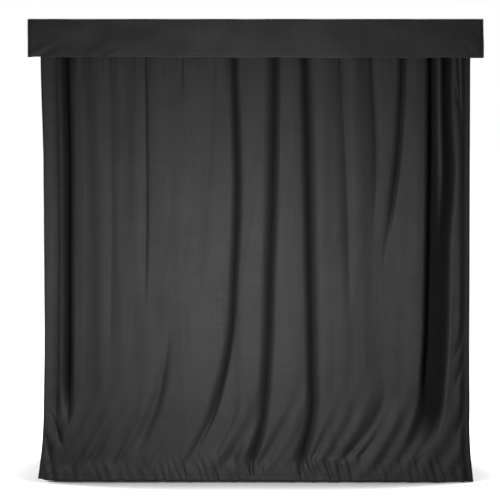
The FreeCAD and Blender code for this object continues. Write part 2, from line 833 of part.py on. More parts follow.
# ---------------------------------------------------------------- stool


def stool():
    """A round seat that swivels on a gas piston, which slides in a column on a weighted plate."""
    base_top = mat_top + 8
    column_top = base_top + column_tall
    keep(rod("z", stool_plate, (mat_top, base_top), stool_x), "stool_base")
    column = cut(
        rod("z", column_round, (base_top, column_top), stool_x),
        rod("z", piston_round + running_gap, (base_top, column_top + 1), stool_x),
    )
    keep(column, "stool_column")
    hub_low = column_top + 12
    piston = join(
        rod("z", piston_round, (base_top + 4, hub_low), stool_x),
        rod("z", 8, (hub_low - 1, hub_low + 15), stool_x),
    )
    keep(piston, "stool_piston")

    lever_z = hub_low + 2
    plate_low = hub_low + 22
    lugs = [
        block(
            (stool_x + low, stool_x + low + 5), (-68, -52), (lever_z - 7, plate_low + 1)
        )
        for low in (-14, 9)
    ]
    seat = cut(
        join(
            rod("z", 25, (hub_low + FIT, plate_low + 1), stool_x),
            block((stool_x - 95, stool_x + 95), (-95, 95), (plate_low, plate_low + 6)),
            *lugs,
        ),
        rod("z", 8 + running_gap, (hub_low, hub_low + 16), stool_x),
        rod("x", 3 + running_gap, (stool_x - 15, stool_x + 15), y=-60, z=lever_z),
    )
    keep(seat, "seat_plate")
    lever = join(
        rod("y", 5, (-190, -48), x=stool_x, z=lever_z),
        block((stool_x - 15, stool_x + 15), (-215, -185), (lever_z - 4, lever_z + 4)),
        rod("x", 8, (stool_x - 8, stool_x + 8), y=-60, z=lever_z),
        rod("x", 3, (stool_x - 14, stool_x + 14), y=-60, z=lever_z),
    )
    keep(lever, "lift_lever")

    cushion = new_body("seat_cushion")
    place(cushion, stool_x, 0, plate_low + 6)
    half = new_sketch(cushion, "XZ_Plane")
    outline(
        half,
        ((0, 0), (seat_round - 12, 0), (seat_round, 14), (seat_round, seat_thick - 18),
         (seat_round - 22, seat_thick), (0, seat_thick)),
    )
    turned(cushion, half)


# ---------------------------------------------------------------- the whole booth


def check(things):
    """Stops if any object failed or any sub-part isn't a sound solid."""
    bad = [t.Label for t in doc.Objects if {"Invalid", "Error"} & set(t.State)]
    bad += [t.Label for t in things if t.Shape.isNull() or not t.Shape.isValid()]
    bad += [t.Label for t in things if not t.Shape.Solids]
    if bad:
        raise SystemExit(f"failed: {sorted(set(bad))}")


def main():
    floor()
    frame()
    valance()
    drapes()
    curtain()
    cabinet()
    fascia()
    buttons()
    coin_unit()
    print_chute()
    camera()
    printer()
    service_door()
    electrics()
    stool()
    doc.recompute()
    check(nodes)
    os.makedirs("parts", exist_ok=True)
    for thing in nodes:
        thing.Shape.exportStep(f"parts/{thing.Label}.step")
    print(f"{len(nodes)} sub-parts written")


main()
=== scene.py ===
"""Looks for the curtained photo booth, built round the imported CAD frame. Metres, +Z up, front faces -Y."""

import json
import math

import bmesh
import bpy
import numpy as np
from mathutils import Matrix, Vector


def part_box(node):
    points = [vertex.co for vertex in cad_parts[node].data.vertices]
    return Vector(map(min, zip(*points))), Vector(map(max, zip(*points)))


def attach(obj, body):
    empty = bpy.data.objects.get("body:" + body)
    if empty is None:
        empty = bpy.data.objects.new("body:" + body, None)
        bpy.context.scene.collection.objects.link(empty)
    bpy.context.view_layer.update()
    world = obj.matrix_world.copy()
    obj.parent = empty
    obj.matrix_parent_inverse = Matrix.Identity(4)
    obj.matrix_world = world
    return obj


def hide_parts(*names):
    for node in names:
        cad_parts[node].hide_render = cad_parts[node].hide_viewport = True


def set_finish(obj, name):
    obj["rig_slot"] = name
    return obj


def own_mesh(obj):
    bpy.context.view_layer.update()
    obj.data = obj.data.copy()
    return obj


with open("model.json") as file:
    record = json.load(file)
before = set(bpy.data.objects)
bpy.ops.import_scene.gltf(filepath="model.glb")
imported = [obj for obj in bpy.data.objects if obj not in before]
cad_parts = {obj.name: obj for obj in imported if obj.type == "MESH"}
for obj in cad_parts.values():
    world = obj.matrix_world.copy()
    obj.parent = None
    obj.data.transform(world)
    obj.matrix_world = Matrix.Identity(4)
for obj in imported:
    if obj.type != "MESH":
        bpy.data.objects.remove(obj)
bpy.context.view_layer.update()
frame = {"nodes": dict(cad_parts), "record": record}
nodes = frame["nodes"]

# ---------------------------------------------------------------- places that follow from the frame

CURTAIN_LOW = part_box("front_curtain")[0]
VALANCE_LOW, VALANCE_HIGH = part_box("valance_front")
ROD_LOW, ROD_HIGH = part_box("curtain_rod")
BATTEN_LOW, BATTEN_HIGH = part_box("curtain_batten")
ROD_Y, ROD_Z = (ROD_LOW.y + ROD_HIGH.y) / 2, (ROD_LOW.z + ROD_HIGH.z) / 2
ROD_R = (ROD_HIGH.z - ROD_LOW.z) / 2
EDGE_LEFT, EDGE_RIGHT = CURTAIN_LOW.x, BATTEN_HIGH.x
FRONT = CURTAIN_LOW.y - 0.004  # the foremost plane of the entry curtain's cloth
DEEPEST = 0.045  # its deepest fold, which still clears the uprights as it is drawn
TOP = VALANCE_HIGH.z
CLOTH = 0.0012  # thickness of the drape cloth
ROD_CLEAR = 0.0020  # from the rod to the outside of the cloth round it
HEM_TURN = 0.0016  # radius at which a hem turns back
BATTEN_WRAP = 0.0062  # from the batten's middle to the outside of the cloth round it


# ---------------------------------------------------------------- cloth shapes


def smooth(t):
    t = np.clip(t, 0, 1)
    return t * t * (3 - 2 * t)


def ramp(value, start, end):
    """0 at start, 1 at end, smooth between; start may be above end."""
    return smooth((value - start) / (end - start))


def follow(z, points):
    """A value that passes smoothly through points given as (z, value), with z falling."""
    zs, values = np.array(points, float)[::-1].T
    slopes = np.gradient(values, zs)
    k = np.clip(np.searchsorted(zs, z) - 1, 0, len(zs) - 2)
    step = zs[k + 1] - zs[k]
    t = np.clip((z - zs[k]) / step, 0, 1)
    a, b = 2 * t**3 - 3 * t**2, t**3 - 2 * t**2 + t
    c = t**3 - t**2
    return (1 + a) * values[k] - a * values[k + 1] + step * (b * slopes[k] + c * slopes[k + 1])


def waves(x, z, pitch, tall, seed, count=24):
    """Uneven ripples: a sum of sines whose lengths lie round pitch across and tall up the cloth."""
    draw = np.random.default_rng(seed)
    total = np.zeros(np.broadcast(x, z).shape)
    for _ in range(count):
        across = 2 * math.pi / (pitch * draw.uniform(0.6, 1.8))
        up = 2 * math.pi / (tall * draw.uniform(0.6, 2.5)) * draw.choice((-1, 1))
        total += np.sin(across * x + up * z + draw.uniform(0, 2 * math.pi))
    return total / math.sqrt(count / 2)


# The entry curtain's folds: the line of each down the cloth as (height, place), how gently it falls away to
# its left and right, its depth, how far the cloth on its right laps over it, and the heights at which it
# begins, is whole, starts to fade and is gone. Heights of 9 and 8 lie above the cloth: such a fold is whole
# from the cloth's top.
FRONT_FOLDS = [
    # the long folds that the gathers on the rod start, from left to right
    ([(1.95, -0.860), (1.5, -0.858), (1.06, -0.862), (0.53, -0.862), (0.25, -0.860)],
     0.034, 0.022, 0.046, 0.003, (9, 8, 0.50, 0.20)),
    ([(1.95, -0.905), (0.9, -0.912), (0.3, -0.918)], 0.050, 0.030, 0.021, 0, (9, 8, 0.40, 0.16)),
    ([(1.95, -0.775), (1.2, -0.770), (0.4, -0.775)], 0.030, 0.040, 0.007, 0, (9, 8, 0.5, 0.2)),
    ([(1.95, -0.655), (1.2, -0.652), (0.4, -0.66)], 0.030, 0.050, 0.009, 0, (9, 8, 0.8, 0.3)),
    ([(1.95, -0.500), (1.2, -0.494), (0.5, -0.505)], 0.050, 0.012, 0.011, 0, (9, 8, 1.1, 0.6)),
    ([(1.95, -0.332), (1.65, -0.340)], 0.012, 0.008, 0.006, 0, (9, 8, 1.86, 1.68)),
    ([(1.95, -0.187), (1.5, -0.205), (1.0, -0.245), (0.6, -0.262)], 0.050, 0.030, 0.010, 0, (9, 8, 1.2, 0.6)),
    ([(1.95, -0.097), (1.29, -0.082), (0.94, -0.094), (0.69, -0.108), (0.46, -0.148), (0.24, -0.222),
      (0.08, -0.312)], 0.024, 0.014, 0.036, 0.004, (9, 8, 0.50, 0.02)),
    ([(1.95, 0.090), (1.43, 0.083), (0.98, 0.069), (0.53, 0.054), (0.28, 0.032), (0.08, -0.017)],
     0.020, 0.014, 0.036, 0.002, (9, 8, 0.14, 0.0)),
    ([(1.95, 0.225), (1.43, 0.238), (0.98, 0.247), (0.53, 0.255), (0.31, 0.255), (0.10, 0.21)],
     0.017, 0.019, 0.038, 0, (9, 8, 0.14, 0.0)),
    ([(1.95, 0.385), (1.43, 0.41), (0.98, 0.425), (0.5, 0.43)], 0.035, 0.030, 0.016, 0, (9, 8, 1.2, 0.6)),
    ([(1.95, 0.525), (1.43, 0.545), (1.0, 0.53), (0.7, 0.51)], 0.030, 0.028, 0.021, 0, (9, 8, 1.5, 0.9)),
    ([(1.95, 0.672), (1.43, 0.642), (1.2, 0.612), (0.98, 0.578), (0.7, 0.55)], 0.024, 0.014, 0.030, 0.002,
     (9, 8, 1.45, 0.75)),
    ([(1.95, 0.916), (1.6, 0.930), (1.2, 0.940)], 0.009, 0.009, 0.010, 0, (9, 8, 1.7, 1.4)),
    # the creases that lean to the left above the hem
    ([(0.75, -0.385), (0.61, -0.402), (0.33, -0.456), (0.08, -0.556)], 0.034, 0.022, 0.018, 0,
     (0.8, 0.45, 0.25, 0.04)),
    ([(0.50, -0.06), (0.31, -0.10), (0.10, -0.193)], 0.026, 0.016, 0.014, 0, (0.5, 0.25, 0.2, 0.04)),
    ([(0.36, -0.63), (0.28, -0.657), (0.20, -0.692), (0.08, -0.752)], 0.026, 0.016, 0.010, 0,
     (0.38, 0.2, 0.1, 0.04)),
    ([(0.34, -0.52), (0.266, -0.547), (0.19, -0.591), (0.08, -0.652)], 0.024, 0.014, 0.012, 0,
     (0.36, 0.2, 0.1, 0.04)),
    ([(0.16, -0.75), (0.134, -0.78), (0.09, -0.84), (0.06, -0.86)], 0.014, 0.011, 0.008, 0,
     (0.17, 0.13, 0.08, 0.04)),
    ([(0.55, 0.60), (0.35, 0.573), (0.21, 0.496), (0.09, 0.39)], 0.036, 0.024, 0.018, 0,
     (0.55, 0.3, 0.15, 0.05)),
    ([(0.32, 0.59), (0.20, 0.54), (0.11, 0.473)], 0.022, 0.014, 0.010, 0, (0.3, 0.18, 0.13, 0.06)),
    ([(0.3, 0.33), (0.18, 0.30), (0.09, 0.25)], 0.024, 0.014, 0.008, 0, (0.3, 0.18, 0.13, 0.05)),
    # the short creases that pull at its two edges
    ([(0.93, -0.960), (0.903, -0.942), (0.863, -0.907)], 0.013, 0.011, 0.005, 0, (0.93, 0.90, 0.88, 0.85)),
    ([(0.77, -0.960), (0.75, -0.947), (0.69, -0.907)], 0.013, 0.011, 0.006, 0, (0.77, 0.75, 0.72, 0.68)),
    ([(0.72, -0.968), (0.69, -0.951), (0.585, -0.919), (0.486, -0.907), (0.42, -0.915)],
     0.016, 0.012, 0.013, 0, (0.71, 0.66, 0.50, 0.42)),
    ([(0.37, -0.962), (0.345, -0.951), (0.246, -0.913), (0.156, -0.885)], 0.018, 0.013, 0.014, 0,
     (0.36, 0.30, 0.20, 0.14)),
    ([(0.24, -0.970), (0.13, -0.941), (0.057, -0.924)], 0.014, 0.012, 0.009, 0, (0.24, 0.2, 0.1, 0.04)),
    ([(1.83, 0.890), (1.75, 0.912), (1.62, 0.955)], 0.012, 0.011, 0.011, 0, (1.84, 1.76, 1.67, 1.60)),
    ([(0.76, 0.962), (0.68, 0.942), (0.56, 0.912)], 0.016, 0.013, 0.014, 0, (0.76, 0.72, 0.62, 0.54)),
    ([(0.62, 0.962), (0.56, 0.945), (0.44, 0.910)], 0.016, 0.013, 0.015, 0, (0.62, 0.58, 0.50, 0.42)),
    ([(0.40, 0.965), (0.34, 0.950), (0.22, 0.915)], 0.016, 0.013, 0.014, 0, (0.40, 0.36, 0.28, 0.20)),
]
# The one wide recess, by its left and right sides, and how gently each falls away.
RECESS = (
    [(1.95, 0.772), (1.43, 0.770), (1.06, 0.764), (0.84, 0.760), (0.53, 0.748), (0.31, 0.715), (0.18, 0.66),
     (0.08, 0.62)],
    [(1.95, 0.892), (1.62, 0.898), (1.43, 0.908), (1.06, 0.888), (0.77, 0.884), (0.45, 0.868), (0.29, 0.845),
     (0.17, 0.795), (0.10, 0.73)],
)
# How the panels between the folds lie: places across the curtain and how far each is set back.
LIE = [(-0.98, 0.003), (-0.93, 0.000), (-0.88, 0.006), (-0.82, 0.010), (-0.70, 0.008), (-0.55, 0.006),
       (-0.48, 0.003), (-0.38, 0.000), (-0.28, 0.003), (-0.18, 0.009), (-0.10, 0.012), (-0.06, 0.003),
       (0.0, 0.000), (0.06, 0.004), (0.12, 0.002), (0.17, 0.000), (0.23, 0.006), (0.29, 0.001), (0.36, 0.000),
       (0.46, 0.007), (0.57, 0.011), (0.66, 0.008), (0.74, 0.001), (0.80, 0.004), (0.88, 0.004), (0.93, 0.000),
       (0.98, 0.004)]


def deepest(parts):
    """The deepest of several hollows, rounded where one meets another."""
    return sum(p**3 for p in parts) ** (1 / 3)


def hollows(x, z, folds):
    """Each fold's depth, and how far the cloth is drawn over the folds sideways."""
    parts, drawn = [], np.zeros(np.broadcast(x, z).shape)
    for line, left, right, depth, lap, (begins, whole, fades, gone) in folds:
        centre = follow(z, line)
        there = ramp(z, begins, whole) * ramp(z, gone, fades)
        gap = x - centre
        parts.append(depth * there * np.exp(-(np.abs(gap / np.where(gap < 0, left, right)) ** 1.3)))
        if lap:
            drawn -= lap * there * smooth(gap / right) * np.exp(-((np.maximum(gap - right, 0) / 0.04) ** 2))
    return parts, drawn


def grid(heights, folds, left, right, count):
    """Places across the cloth at each height, closer together at the long folds, whose lines they follow."""
    fine = np.linspace(left, right, 2000)
    rows = []
    for z in heights:
        close = np.ones(len(fine))
        for line, *_, (begins, whole, fades, gone) in folds:
            if begins > TOP:
                close += 1.8 * ramp(z, gone - 0.2, fades) * np.exp(-(((fine - follow(z, line)) / 0.024) ** 2))
        total = np.cumsum(close)
        rows.append(np.interp(np.linspace(total[0], total[-1], count), total, fine))
    return np.array(rows), np.repeat(np.array(heights)[:, None], count, 1)


def front_depth(x, z):
    """How far the entry curtain lies behind its foremost plane, how deep in a fold, how far drawn over."""
    parts, drawn = hollows(x, z, FRONT_FOLDS)
    low, high = (follow(z, side) for side in RECESS)
    there = ramp(z, 0.06, 0.38)
    ridge = 0.10 + 0.75 * ramp(z, 0.95, 1.6)
    middle = 1 - ridge * np.exp(-(((x - low - 0.50 * (high - low)) / 0.021) ** 2))
    softness = 0.020 + 0.05 * ramp(z, 0.55, 0.2)
    parts.append(DEEPEST * there * middle * smooth((x - low) / softness) * smooth((high - x) / 0.022))
    inside = np.clip(deepest(parts) / DEEPEST, 0, 1)
    flat = 1 - 0.7 * ramp(z, 0.6, 0.1)
    parts.append(flat * np.maximum(follow(x, LIE[::-1]) + 0.0015 * waves(x, z, 0.26, 2.6, 21, 10), 0))
    depth = deepest(parts)
    lower = ramp(z, 0.55, 0.08) * ramp(z, 0.0, 0.12)
    lean = x + 0.6 * (0.55 - np.minimum(z, 0.55)) ** 1.5
    depth += 0.0032 * lower * (1 + waves(lean, z * 0.1, 0.11, 2.5, 3))
    pucker = ramp(z, 0.135, 0.05) * ramp(x, -0.75, -0.2)
    depth += 0.0034 * pucker * waves(x + 0.3 * z, z, 0.036, 0.30, 5) * (0.7 + 0.3 * waves(x, z, 0.3, 1, 6, 6))
    depth += 0.0008 * ramp(z, 0.12, 0.03) * waves(x + 0.3 * z, z, 0.05, 0.3, 8)
    depth += 0.0008 * ramp(z, 1.72, 1.93) * waves(x, z, 0.045, 0.8, 9)
    depth += 0.0006 * waves(x, z, 0.12, 1.8, 11) + 0.00008 * waves(x, z, 0.035, 0.8, 12)
    return np.clip(depth, 0, DEEPEST + 0.002), inside, drawn


def lengths(points, axis):
    """How far along the cloth each grid point lies, along one axis of the grid, as an average."""
    steps = np.linalg.norm(np.diff(points, axis=axis), axis=-1)
    start = np.zeros_like(np.take(steps, [0], axis))
    along = np.concatenate([start, np.cumsum(steps, axis)], axis)
    return np.broadcast_to(along.mean(1 - axis, keepdims=True), along.shape)


def cloth_sheet(name, points, inside, thick=CLOTH):
    """A sheet of cloth through a grid of points (rows down it, columns, 3), with its own lengths as a map,
    how deep in a fold each point lies, and how far it is above the lower edge."""
    rows, cols = points.shape[:2]
    mesh = bpy.data.meshes.new(name)
    index = np.arange(rows * cols).reshape(rows, cols)
    quads = np.stack([index[:-1, :-1], index[1:, :-1], index[1:, 1:], index[:-1, 1:]], -1).reshape(-1, 4)
    mesh.from_pydata(points.reshape(-1, 3).tolist(), [], quads.tolist())
    down = lengths(points, 0)
    places = np.stack([lengths(points, 1), down], -1).reshape(-1, 2)
    layer = mesh.uv_layers.new(name="cloth")
    layer.data.foreach_set("uv", places[quads.ravel()].astype(np.float32).ravel())
    # the fold depth is kept for the drape material, which darkens the colour there as painted shade
    for label, values in (("fold", inside), ("above_hem", down.max() - down)):
        layer = mesh.attributes.new(label, "FLOAT", "POINT")
        layer.data.foreach_set("value", np.broadcast_to(values, (rows, cols)).astype(np.float32).ravel())
    mesh.polygons.foreach_set("use_smooth", [True] * len(mesh.polygons))
    piece = bpy.data.objects.new(name, mesh)
    bpy.context.scene.collection.objects.link(piece)
    solid = piece.modifiers.new("thickness", "SOLIDIFY")
    solid.thickness = thick
    solid.offset = -1
    return piece


def turned_edge(points, outward, sideways, radius, width):
    """The columns of a hem that turns the cloth's first column back behind it, far end first."""
    out, side = np.array(outward), np.array(sideways)
    near = np.linalg.norm(points[:, 1:] - points[:, :1], axis=-1).mean(0)
    behind = points[:, 1 : 1 + np.searchsorted(near, width)] - 2 * radius * out
    bend = [points[:, 0] - side * radius * math.sin(a) - out * radius * (1 - math.cos(a))
            for a in np.radians([180, 140, 90, 40])]
    return np.concatenate([behind[:, ::-1], np.stack(bend, 1)], 1)


def with_hems(points, inside, outward, sideways, radii, width=0.025):
    """The sheet with both of its upright edges turned back, and the fold depth to match."""
    left = turned_edge(points, outward, sideways, radii[0], width)
    right = turned_edge(points[:, ::-1], outward, -np.array(sideways), radii[1], width)[:, ::-1]
    wider = np.pad(inside, ((0, 0), (left.shape[1], right.shape[1])), mode="edge")
    return np.concatenate([left, points, right], 1), wider


# ---------------------------------------------------------------- the entry curtain


def rod_pocket(top_row, top_inside):
    """Rows that carry the curtain's top edge over the rod and down behind it."""
    reach = ROD_R + ROD_CLEAR + 0.0010 * np.maximum(1 + waves(top_row[:, 0], 0, 0.032, 1, 33), 0)
    rows = []
    for back in (0.045, 0.036, 0.027, 0.018, 0.009, 0.0):  # how far below the rod's middle, behind it
        held = smooth((back - 0.009) / 0.036)
        y = ROD_Y + reach * (1 - held) - (ROD_R - 0.003) * held
        rows.append(np.stack([top_row[:, 0], y, np.full(len(y), ROD_Z - back)], -1))
    for a in np.radians(np.linspace(18, 162, 9)):
        rows.append(np.stack([top_row[:, 0], ROD_Y + reach * math.cos(a), ROD_Z + reach * math.sin(a)], -1))
    return np.stack(rows), np.broadcast_to(top_inside * 0, (len(rows), len(top_inside)))


def front_curtain():
    heights = np.concatenate([np.linspace(0.0, 0.15, 24), np.linspace(0.15, 0.75, 62)[1:],
                              np.linspace(0.75, ROD_Z, 48)[1:]])[::-1]
    x, z = grid(heights, FRONT_FOLDS, EDGE_LEFT, EDGE_RIGHT - BATTEN_WRAP, 312)
    depth, inside, drawn = front_depth(x, z)
    near_batten = ramp(x, 0.925, BATTEN_LOW.x)
    y = FRONT + depth
    y += near_batten * (ROD_Y - BATTEN_WRAP - y)
    gathers = 0.0010 * np.maximum(1 + waves(x, z, 0.032, 0.6, 33), 0)
    on_rod = ramp(z, 1.945, ROD_Z - 0.012)
    y += on_rod * (ROD_Y - ROD_R - ROD_CLEAR - gathers - y)
    left = follow(z, [(2.1, -0.969), (1.93, -0.969), (1.5, -0.958), (1.0, -0.952), (0.5, -0.955),
                      (0.12, -0.970), (0.0, -0.984)]) - EDGE_LEFT
    right = follow(z, [(2.1, 0.0), (1.0, -0.001), (0.4, 0.0), (0.12, 0.006), (0.0, 0.018)])
    x2 = x + drawn + left * ramp(x, EDGE_LEFT + 0.30, EDGE_LEFT)
    x2 = x2 + right * ramp(x, EDGE_RIGHT - 0.30, EDGE_RIGHT)
    hem = 0.009 - 0.005 * ramp(x, -0.3, 0.95) + 0.006 * ramp(x, -0.85, -0.97)
    hem = hem + 0.0012 * waves(x, z, 0.07, 1, 41)
    z2 = z + hem * ramp(z, 0.3, 0.0)
    points, inside = with_hems(np.stack([x2, y, z2], -1), inside, (0, -1, 0), (1, 0, 0),
                               (HEM_TURN, BATTEN_WRAP))
    pocket, pocket_inside = rod_pocket(points[0], inside[0])
    points[0, :, 1] = ROD_Y + (pocket[-1, :, 1] - ROD_Y) * 1.05
    piece = cloth_sheet("curtain_cloth", np.concatenate([pocket, points]),
                        np.concatenate([pocket_inside, inside]))
    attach(piece, "curtain")
    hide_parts("front_curtain")
    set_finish(piece, "drape_cloth")
    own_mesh(piece)
    return piece


# ---------------------------------------------------------------- the drapes on the other three sides


def made_up_folds(width, seed):
    """Folds like the entry curtain's, for a drape that hangs from a tape: most run right down it."""
    draw = np.random.default_rng(seed)
    folds, place = [], draw.uniform(0.05, 0.12)
    while place < width - 0.05:
        long = draw.random() < 0.7
        lean = draw.normal(0, 0.035)
        low = 0.05 if long else draw.uniform(0.6, 1.3)
        line = [(2.0, place), (1.4, place + draw.normal(0, 0.010)), (0.8, place + draw.normal(0, 0.014)),
                (0.3, place + lean * 0.6), (0.0, place + lean * 1.3)]
        left, right = draw.uniform(0.016, 0.045, 2)
        depth = draw.uniform(0.018, 0.036) if long else draw.uniform(0.006, 0.016)
        folds.append((line, left, right, depth, 0, (9, 8, low + 0.35, low - 0.1)))
        place += draw.uniform(0.07, 0.19)
    for _ in range(int(width / 0.16)):
        place, high = draw.uniform(0.05, width - 0.05), draw.uniform(0.25, 0.6)
        line = [(high, place), (high / 2, place - 0.05), (0.05, place - 0.13)]
        folds.append((line, 0.030, 0.020, draw.uniform(0.006, 0.014), 0, (high, high * 0.6, 0.15, 0.03)))
    return folds


def drape(node, start, end, seed, *tucks):
    """A drape from start to end, as seen from left to right outside, on the hook-and-loop tape at its top.
    Each tuck, (share of its width, depth), draws it in there, where it meets its neighbour at a corner."""
    start, end = np.array(start), np.array(end)
    width = np.linalg.norm(end - start)
    sideways = np.append((end - start) / width, 0)
    outward = np.array([sideways[1], -sideways[0], 0])
    folds = made_up_folds(width, seed)
    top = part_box(node)[1].z
    heights = np.concatenate([np.linspace(0.010, 0.15, 12), np.linspace(0.15, top, 60)[1:]])[::-1]
    s, z = grid(heights, folds, 0, width, int(width / 0.0072))
    parts, _ = hollows(s, z, folds)
    inside = np.clip(deepest(parts) / DEEPEST, 0, 1)
    parts.append(0.004 * np.maximum(1 + waves(s, z, 0.25, 2.4, seed, 10), 0))
    depth = deepest(parts) + 0.0006 * waves(s, z, 0.12, 1.8, seed + 1)
    depth += 0.0016 * ramp(z, 0.12, 0.03) * waves(s + 0.4 * z, z, 0.05, 0.4, seed + 2)
    for share, tuck in tucks:
        near = ramp(np.abs(s - share * width), 0.22, 0.05)
        depth = depth + near * np.maximum(tuck - depth, 0)
    depth = np.clip(depth, 0, 0.038)
    on_tape = ramp(z, 1.97, top - 0.03)
    depth += on_tape * (0.0385 - 0.0012 * (1 + waves(s, z, 0.04, 1, seed + 3)) - depth)
    z2 = z + ramp(z, 0.3, 0.0) * 0.002 * waves(s, z, 0.5, 1, seed + 4, 8)
    base = np.append(start, 0) + s[..., None] * sideways + np.array([0, 0, 1.0]) * z2[..., None]
    points, inside = with_hems(base - depth[..., None] * outward, inside * (1 - on_tape), outward, sideways,
                               (HEM_TURN, HEM_TURN))
    piece = cloth_sheet(node + "_cloth", points, inside)
    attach(piece, "root")
    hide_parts(node)
    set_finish(piece, "drape_cloth")
    return piece


def drapes():
    low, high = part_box("drape_back")
    side_low, side_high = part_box("drape_left")
    proud, overlap, short = 0.002, 0.006, 0.006
    back_end, front_end = side_high.y + overlap, side_low.y + short
    return [
        drape("drape_back", (high.x, high.y + proud), (low.x, high.y + proud), 101, (0, 0.037), (1, 0.037)),
        drape("drape_left", (side_low.x, back_end), (side_low.x, front_end), 202, (1, 0.026)),
        drape("drape_right", (-side_low.x, front_end), (-side_low.x, back_end), 303, (0, 0.012)),
    ]


# ---------------------------------------------------------------- the valance and the roof


def round_the_booth(half_x, half_y, radius, places):
    """Points and outward directions at places along a rounded rectangle, from the middle of its back, going
    round by the left side and the front."""
    corners = [(-1, 1, 90), (-1, -1, 180), (1, -1, 270), (1, 1, 0)]
    line = [(0, half_y)]
    for sx, sy, turn in corners:
        for a in np.radians(np.linspace(turn, turn + 90, 7)):
            line.append((sx * (half_x - radius) + radius * math.cos(a),
                         sy * (half_y - radius) + radius * math.sin(a)))
    line = np.array(line + [(0, half_y)])
    steps = np.linalg.norm(np.diff(line, axis=0), axis=1)
    along = np.concatenate([[0], np.cumsum(steps)])
    x, y = (np.interp(places * along[-1], along, line[:, k]) for k in (0, 1))
    inner_x, inner_y = half_x - radius, half_y - radius
    out = np.stack([x - np.clip(x, -inner_x, inner_x), y - np.clip(y, -inner_y, inner_y)], -1)
    return x, y, out / np.linalg.norm(out, axis=1, keepdims=True), along[-1]


def valance():
    half_x, half_y = VALANCE_HIGH.x, -VALANCE_LOW.y
    corner = 0.007
    places = np.linspace(0, 1, 760)
    x, y, out, length = round_the_booth(half_x, half_y, corner, places)
    bottom = VALANCE_LOW.z
    heights = np.concatenate([np.linspace(0, 0.012, 4), np.linspace(0.02, TOP - bottom - 0.003, 26)])[::-1]
    s, up = np.meshgrid(places * length, heights)
    xs, front = np.broadcast_to(x, s.shape), np.broadcast_to(out[:, 1] < -0.9, s.shape)
    loose = ramp(up, 0.15, 0.05)
    proud = 0.0012 + 0.0010 * waves(s, up, 0.30, 0.5, 61, 12)
    proud += 0.0030 * loose * waves(s, up, 0.55, 0.8, 62, 10)
    ends = np.exp(-((half_x - np.abs(xs)) / 0.10)) * front
    proud += 0.0005 * ends * waves(s + 0.9 * up, up * 0.3, 0.07, 0.6, 63)
    low_left = ramp(xs, -0.35, -0.8) * ramp(up, 0.09, 0.02) * front
    proud += 0.0005 * low_left * waves(s - 1.6 * up, up * 0.3, 0.08, 0.6, 64)
    proud += 0.0002 * waves(s, up, 0.09, 0.3, 65)
    proud = np.maximum(proud, 0.0002 - 0.004 * loose)
    slant = (0.004 * ramp(xs, 0.9, -0.9) - 0.003) * front
    z = bottom + up + slant * ramp(up, 0.10, 0.0) + 0.0008 * waves(s, 0 * up, 0.30, 1, 66, 10)
    points = np.stack([xs + out[:, 0] * proud, y + out[:, 1] * proud, z], -1)
    rows = []
    for inset, rise in ((0.040, 0.0004), (0.020, 0.0010), (0.006, 0.0012), (0.0015, 0.0004)):
        in_x = np.clip(x, inset - half_x, half_x - inset)
        in_y = np.clip(y, inset - half_y, half_y - inset)
        rows.append(np.stack([in_x, in_y, np.full(len(x), TOP + rise)], -1))
    band = np.concatenate([np.stack(rows), points])
    piece = cloth_sheet("valance_band", band, np.zeros((1, 1)), thick=0.0024)
    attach(piece, "root")
    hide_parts("valance_front", "valance_back", "valance_left", "valance_right")
    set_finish(piece, "valance_cloth")
    return piece


def roof():
    low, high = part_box("roof_cloth")
    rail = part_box("header_rail_front")
    inner_x, inner_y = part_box("header_rail_right")[0].x, -rail[1].y
    xs = np.linspace(low.x, high.x, 150)
    ys = np.linspace(high.y, low.y, 100)
    x, y = np.meshgrid(xs, ys)
    sag = 0.016 * smooth((inner_x - np.abs(x)) / 0.5) * smooth((inner_y - np.abs(y)) / 0.4)
    beyond = np.maximum(np.abs(x) - high.x + 0.02, np.abs(y) - high.y + 0.02)
    loose = ramp(beyond, 0, -0.03) * np.maximum(ramp(np.abs(x), inner_x, inner_x - 0.04)
                                                * ramp(np.abs(y), inner_y, inner_y - 0.04), 0.0)
    ripple = 0.0012 * loose * (waves(x, y, 0.20, 0.9, 71, 12) - 1.2)
    z = low.z + 0.0014 - sag + ripple
    piece = cloth_sheet("roof_sheet", np.stack([x, y, z], -1), np.zeros((1, 1)))
    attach(piece, "root")
    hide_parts("roof_cloth")
    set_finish(piece, "valance_cloth")
    return piece


# ---------------------------------------------------------------- harder pieces


SCREW_R = 0.0045
KIOSK_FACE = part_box("kiosk_fascia")[1].x
BEZEL_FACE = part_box("print_chute")[1].x - 0.007  # the bezels' flat faces, behind the chute's lugs


def solid(name, points, quads, body, slot, *replaced):
    """A closed piece from points and faces, with points that coincide joined and any open rim filled in."""
    mesh = bpy.data.meshes.new(name)
    spots = np.asarray(points, float).reshape(-1, 3)
    mesh.from_pydata(spots.tolist(), [], [list(map(int, q)) for q in quads])
    shape = bmesh.new()
    shape.from_mesh(mesh)
    bmesh.ops.remove_doubles(shape, verts=shape.verts, dist=1e-6)
    bmesh.ops.dissolve_degenerate(shape, edges=shape.edges, dist=1e-7)
    bmesh.ops.holes_fill(shape, edges=[e for e in shape.edges if e.is_boundary])
    bmesh.ops.recalc_face_normals(shape, faces=shape.faces)
    shape.to_mesh(mesh)
    shape.free()
    mesh.polygons.foreach_set("use_smooth", [True] * len(mesh.polygons))
    mesh.set_sharp_from_angle(angle=math.radians(40))
    piece = bpy.data.objects.new(name, mesh)
    bpy.context.scene.collection.objects.link(piece)
    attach(piece, body)
    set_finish(piece, slot)
    if replaced:
        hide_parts(*replaced)
    return piece


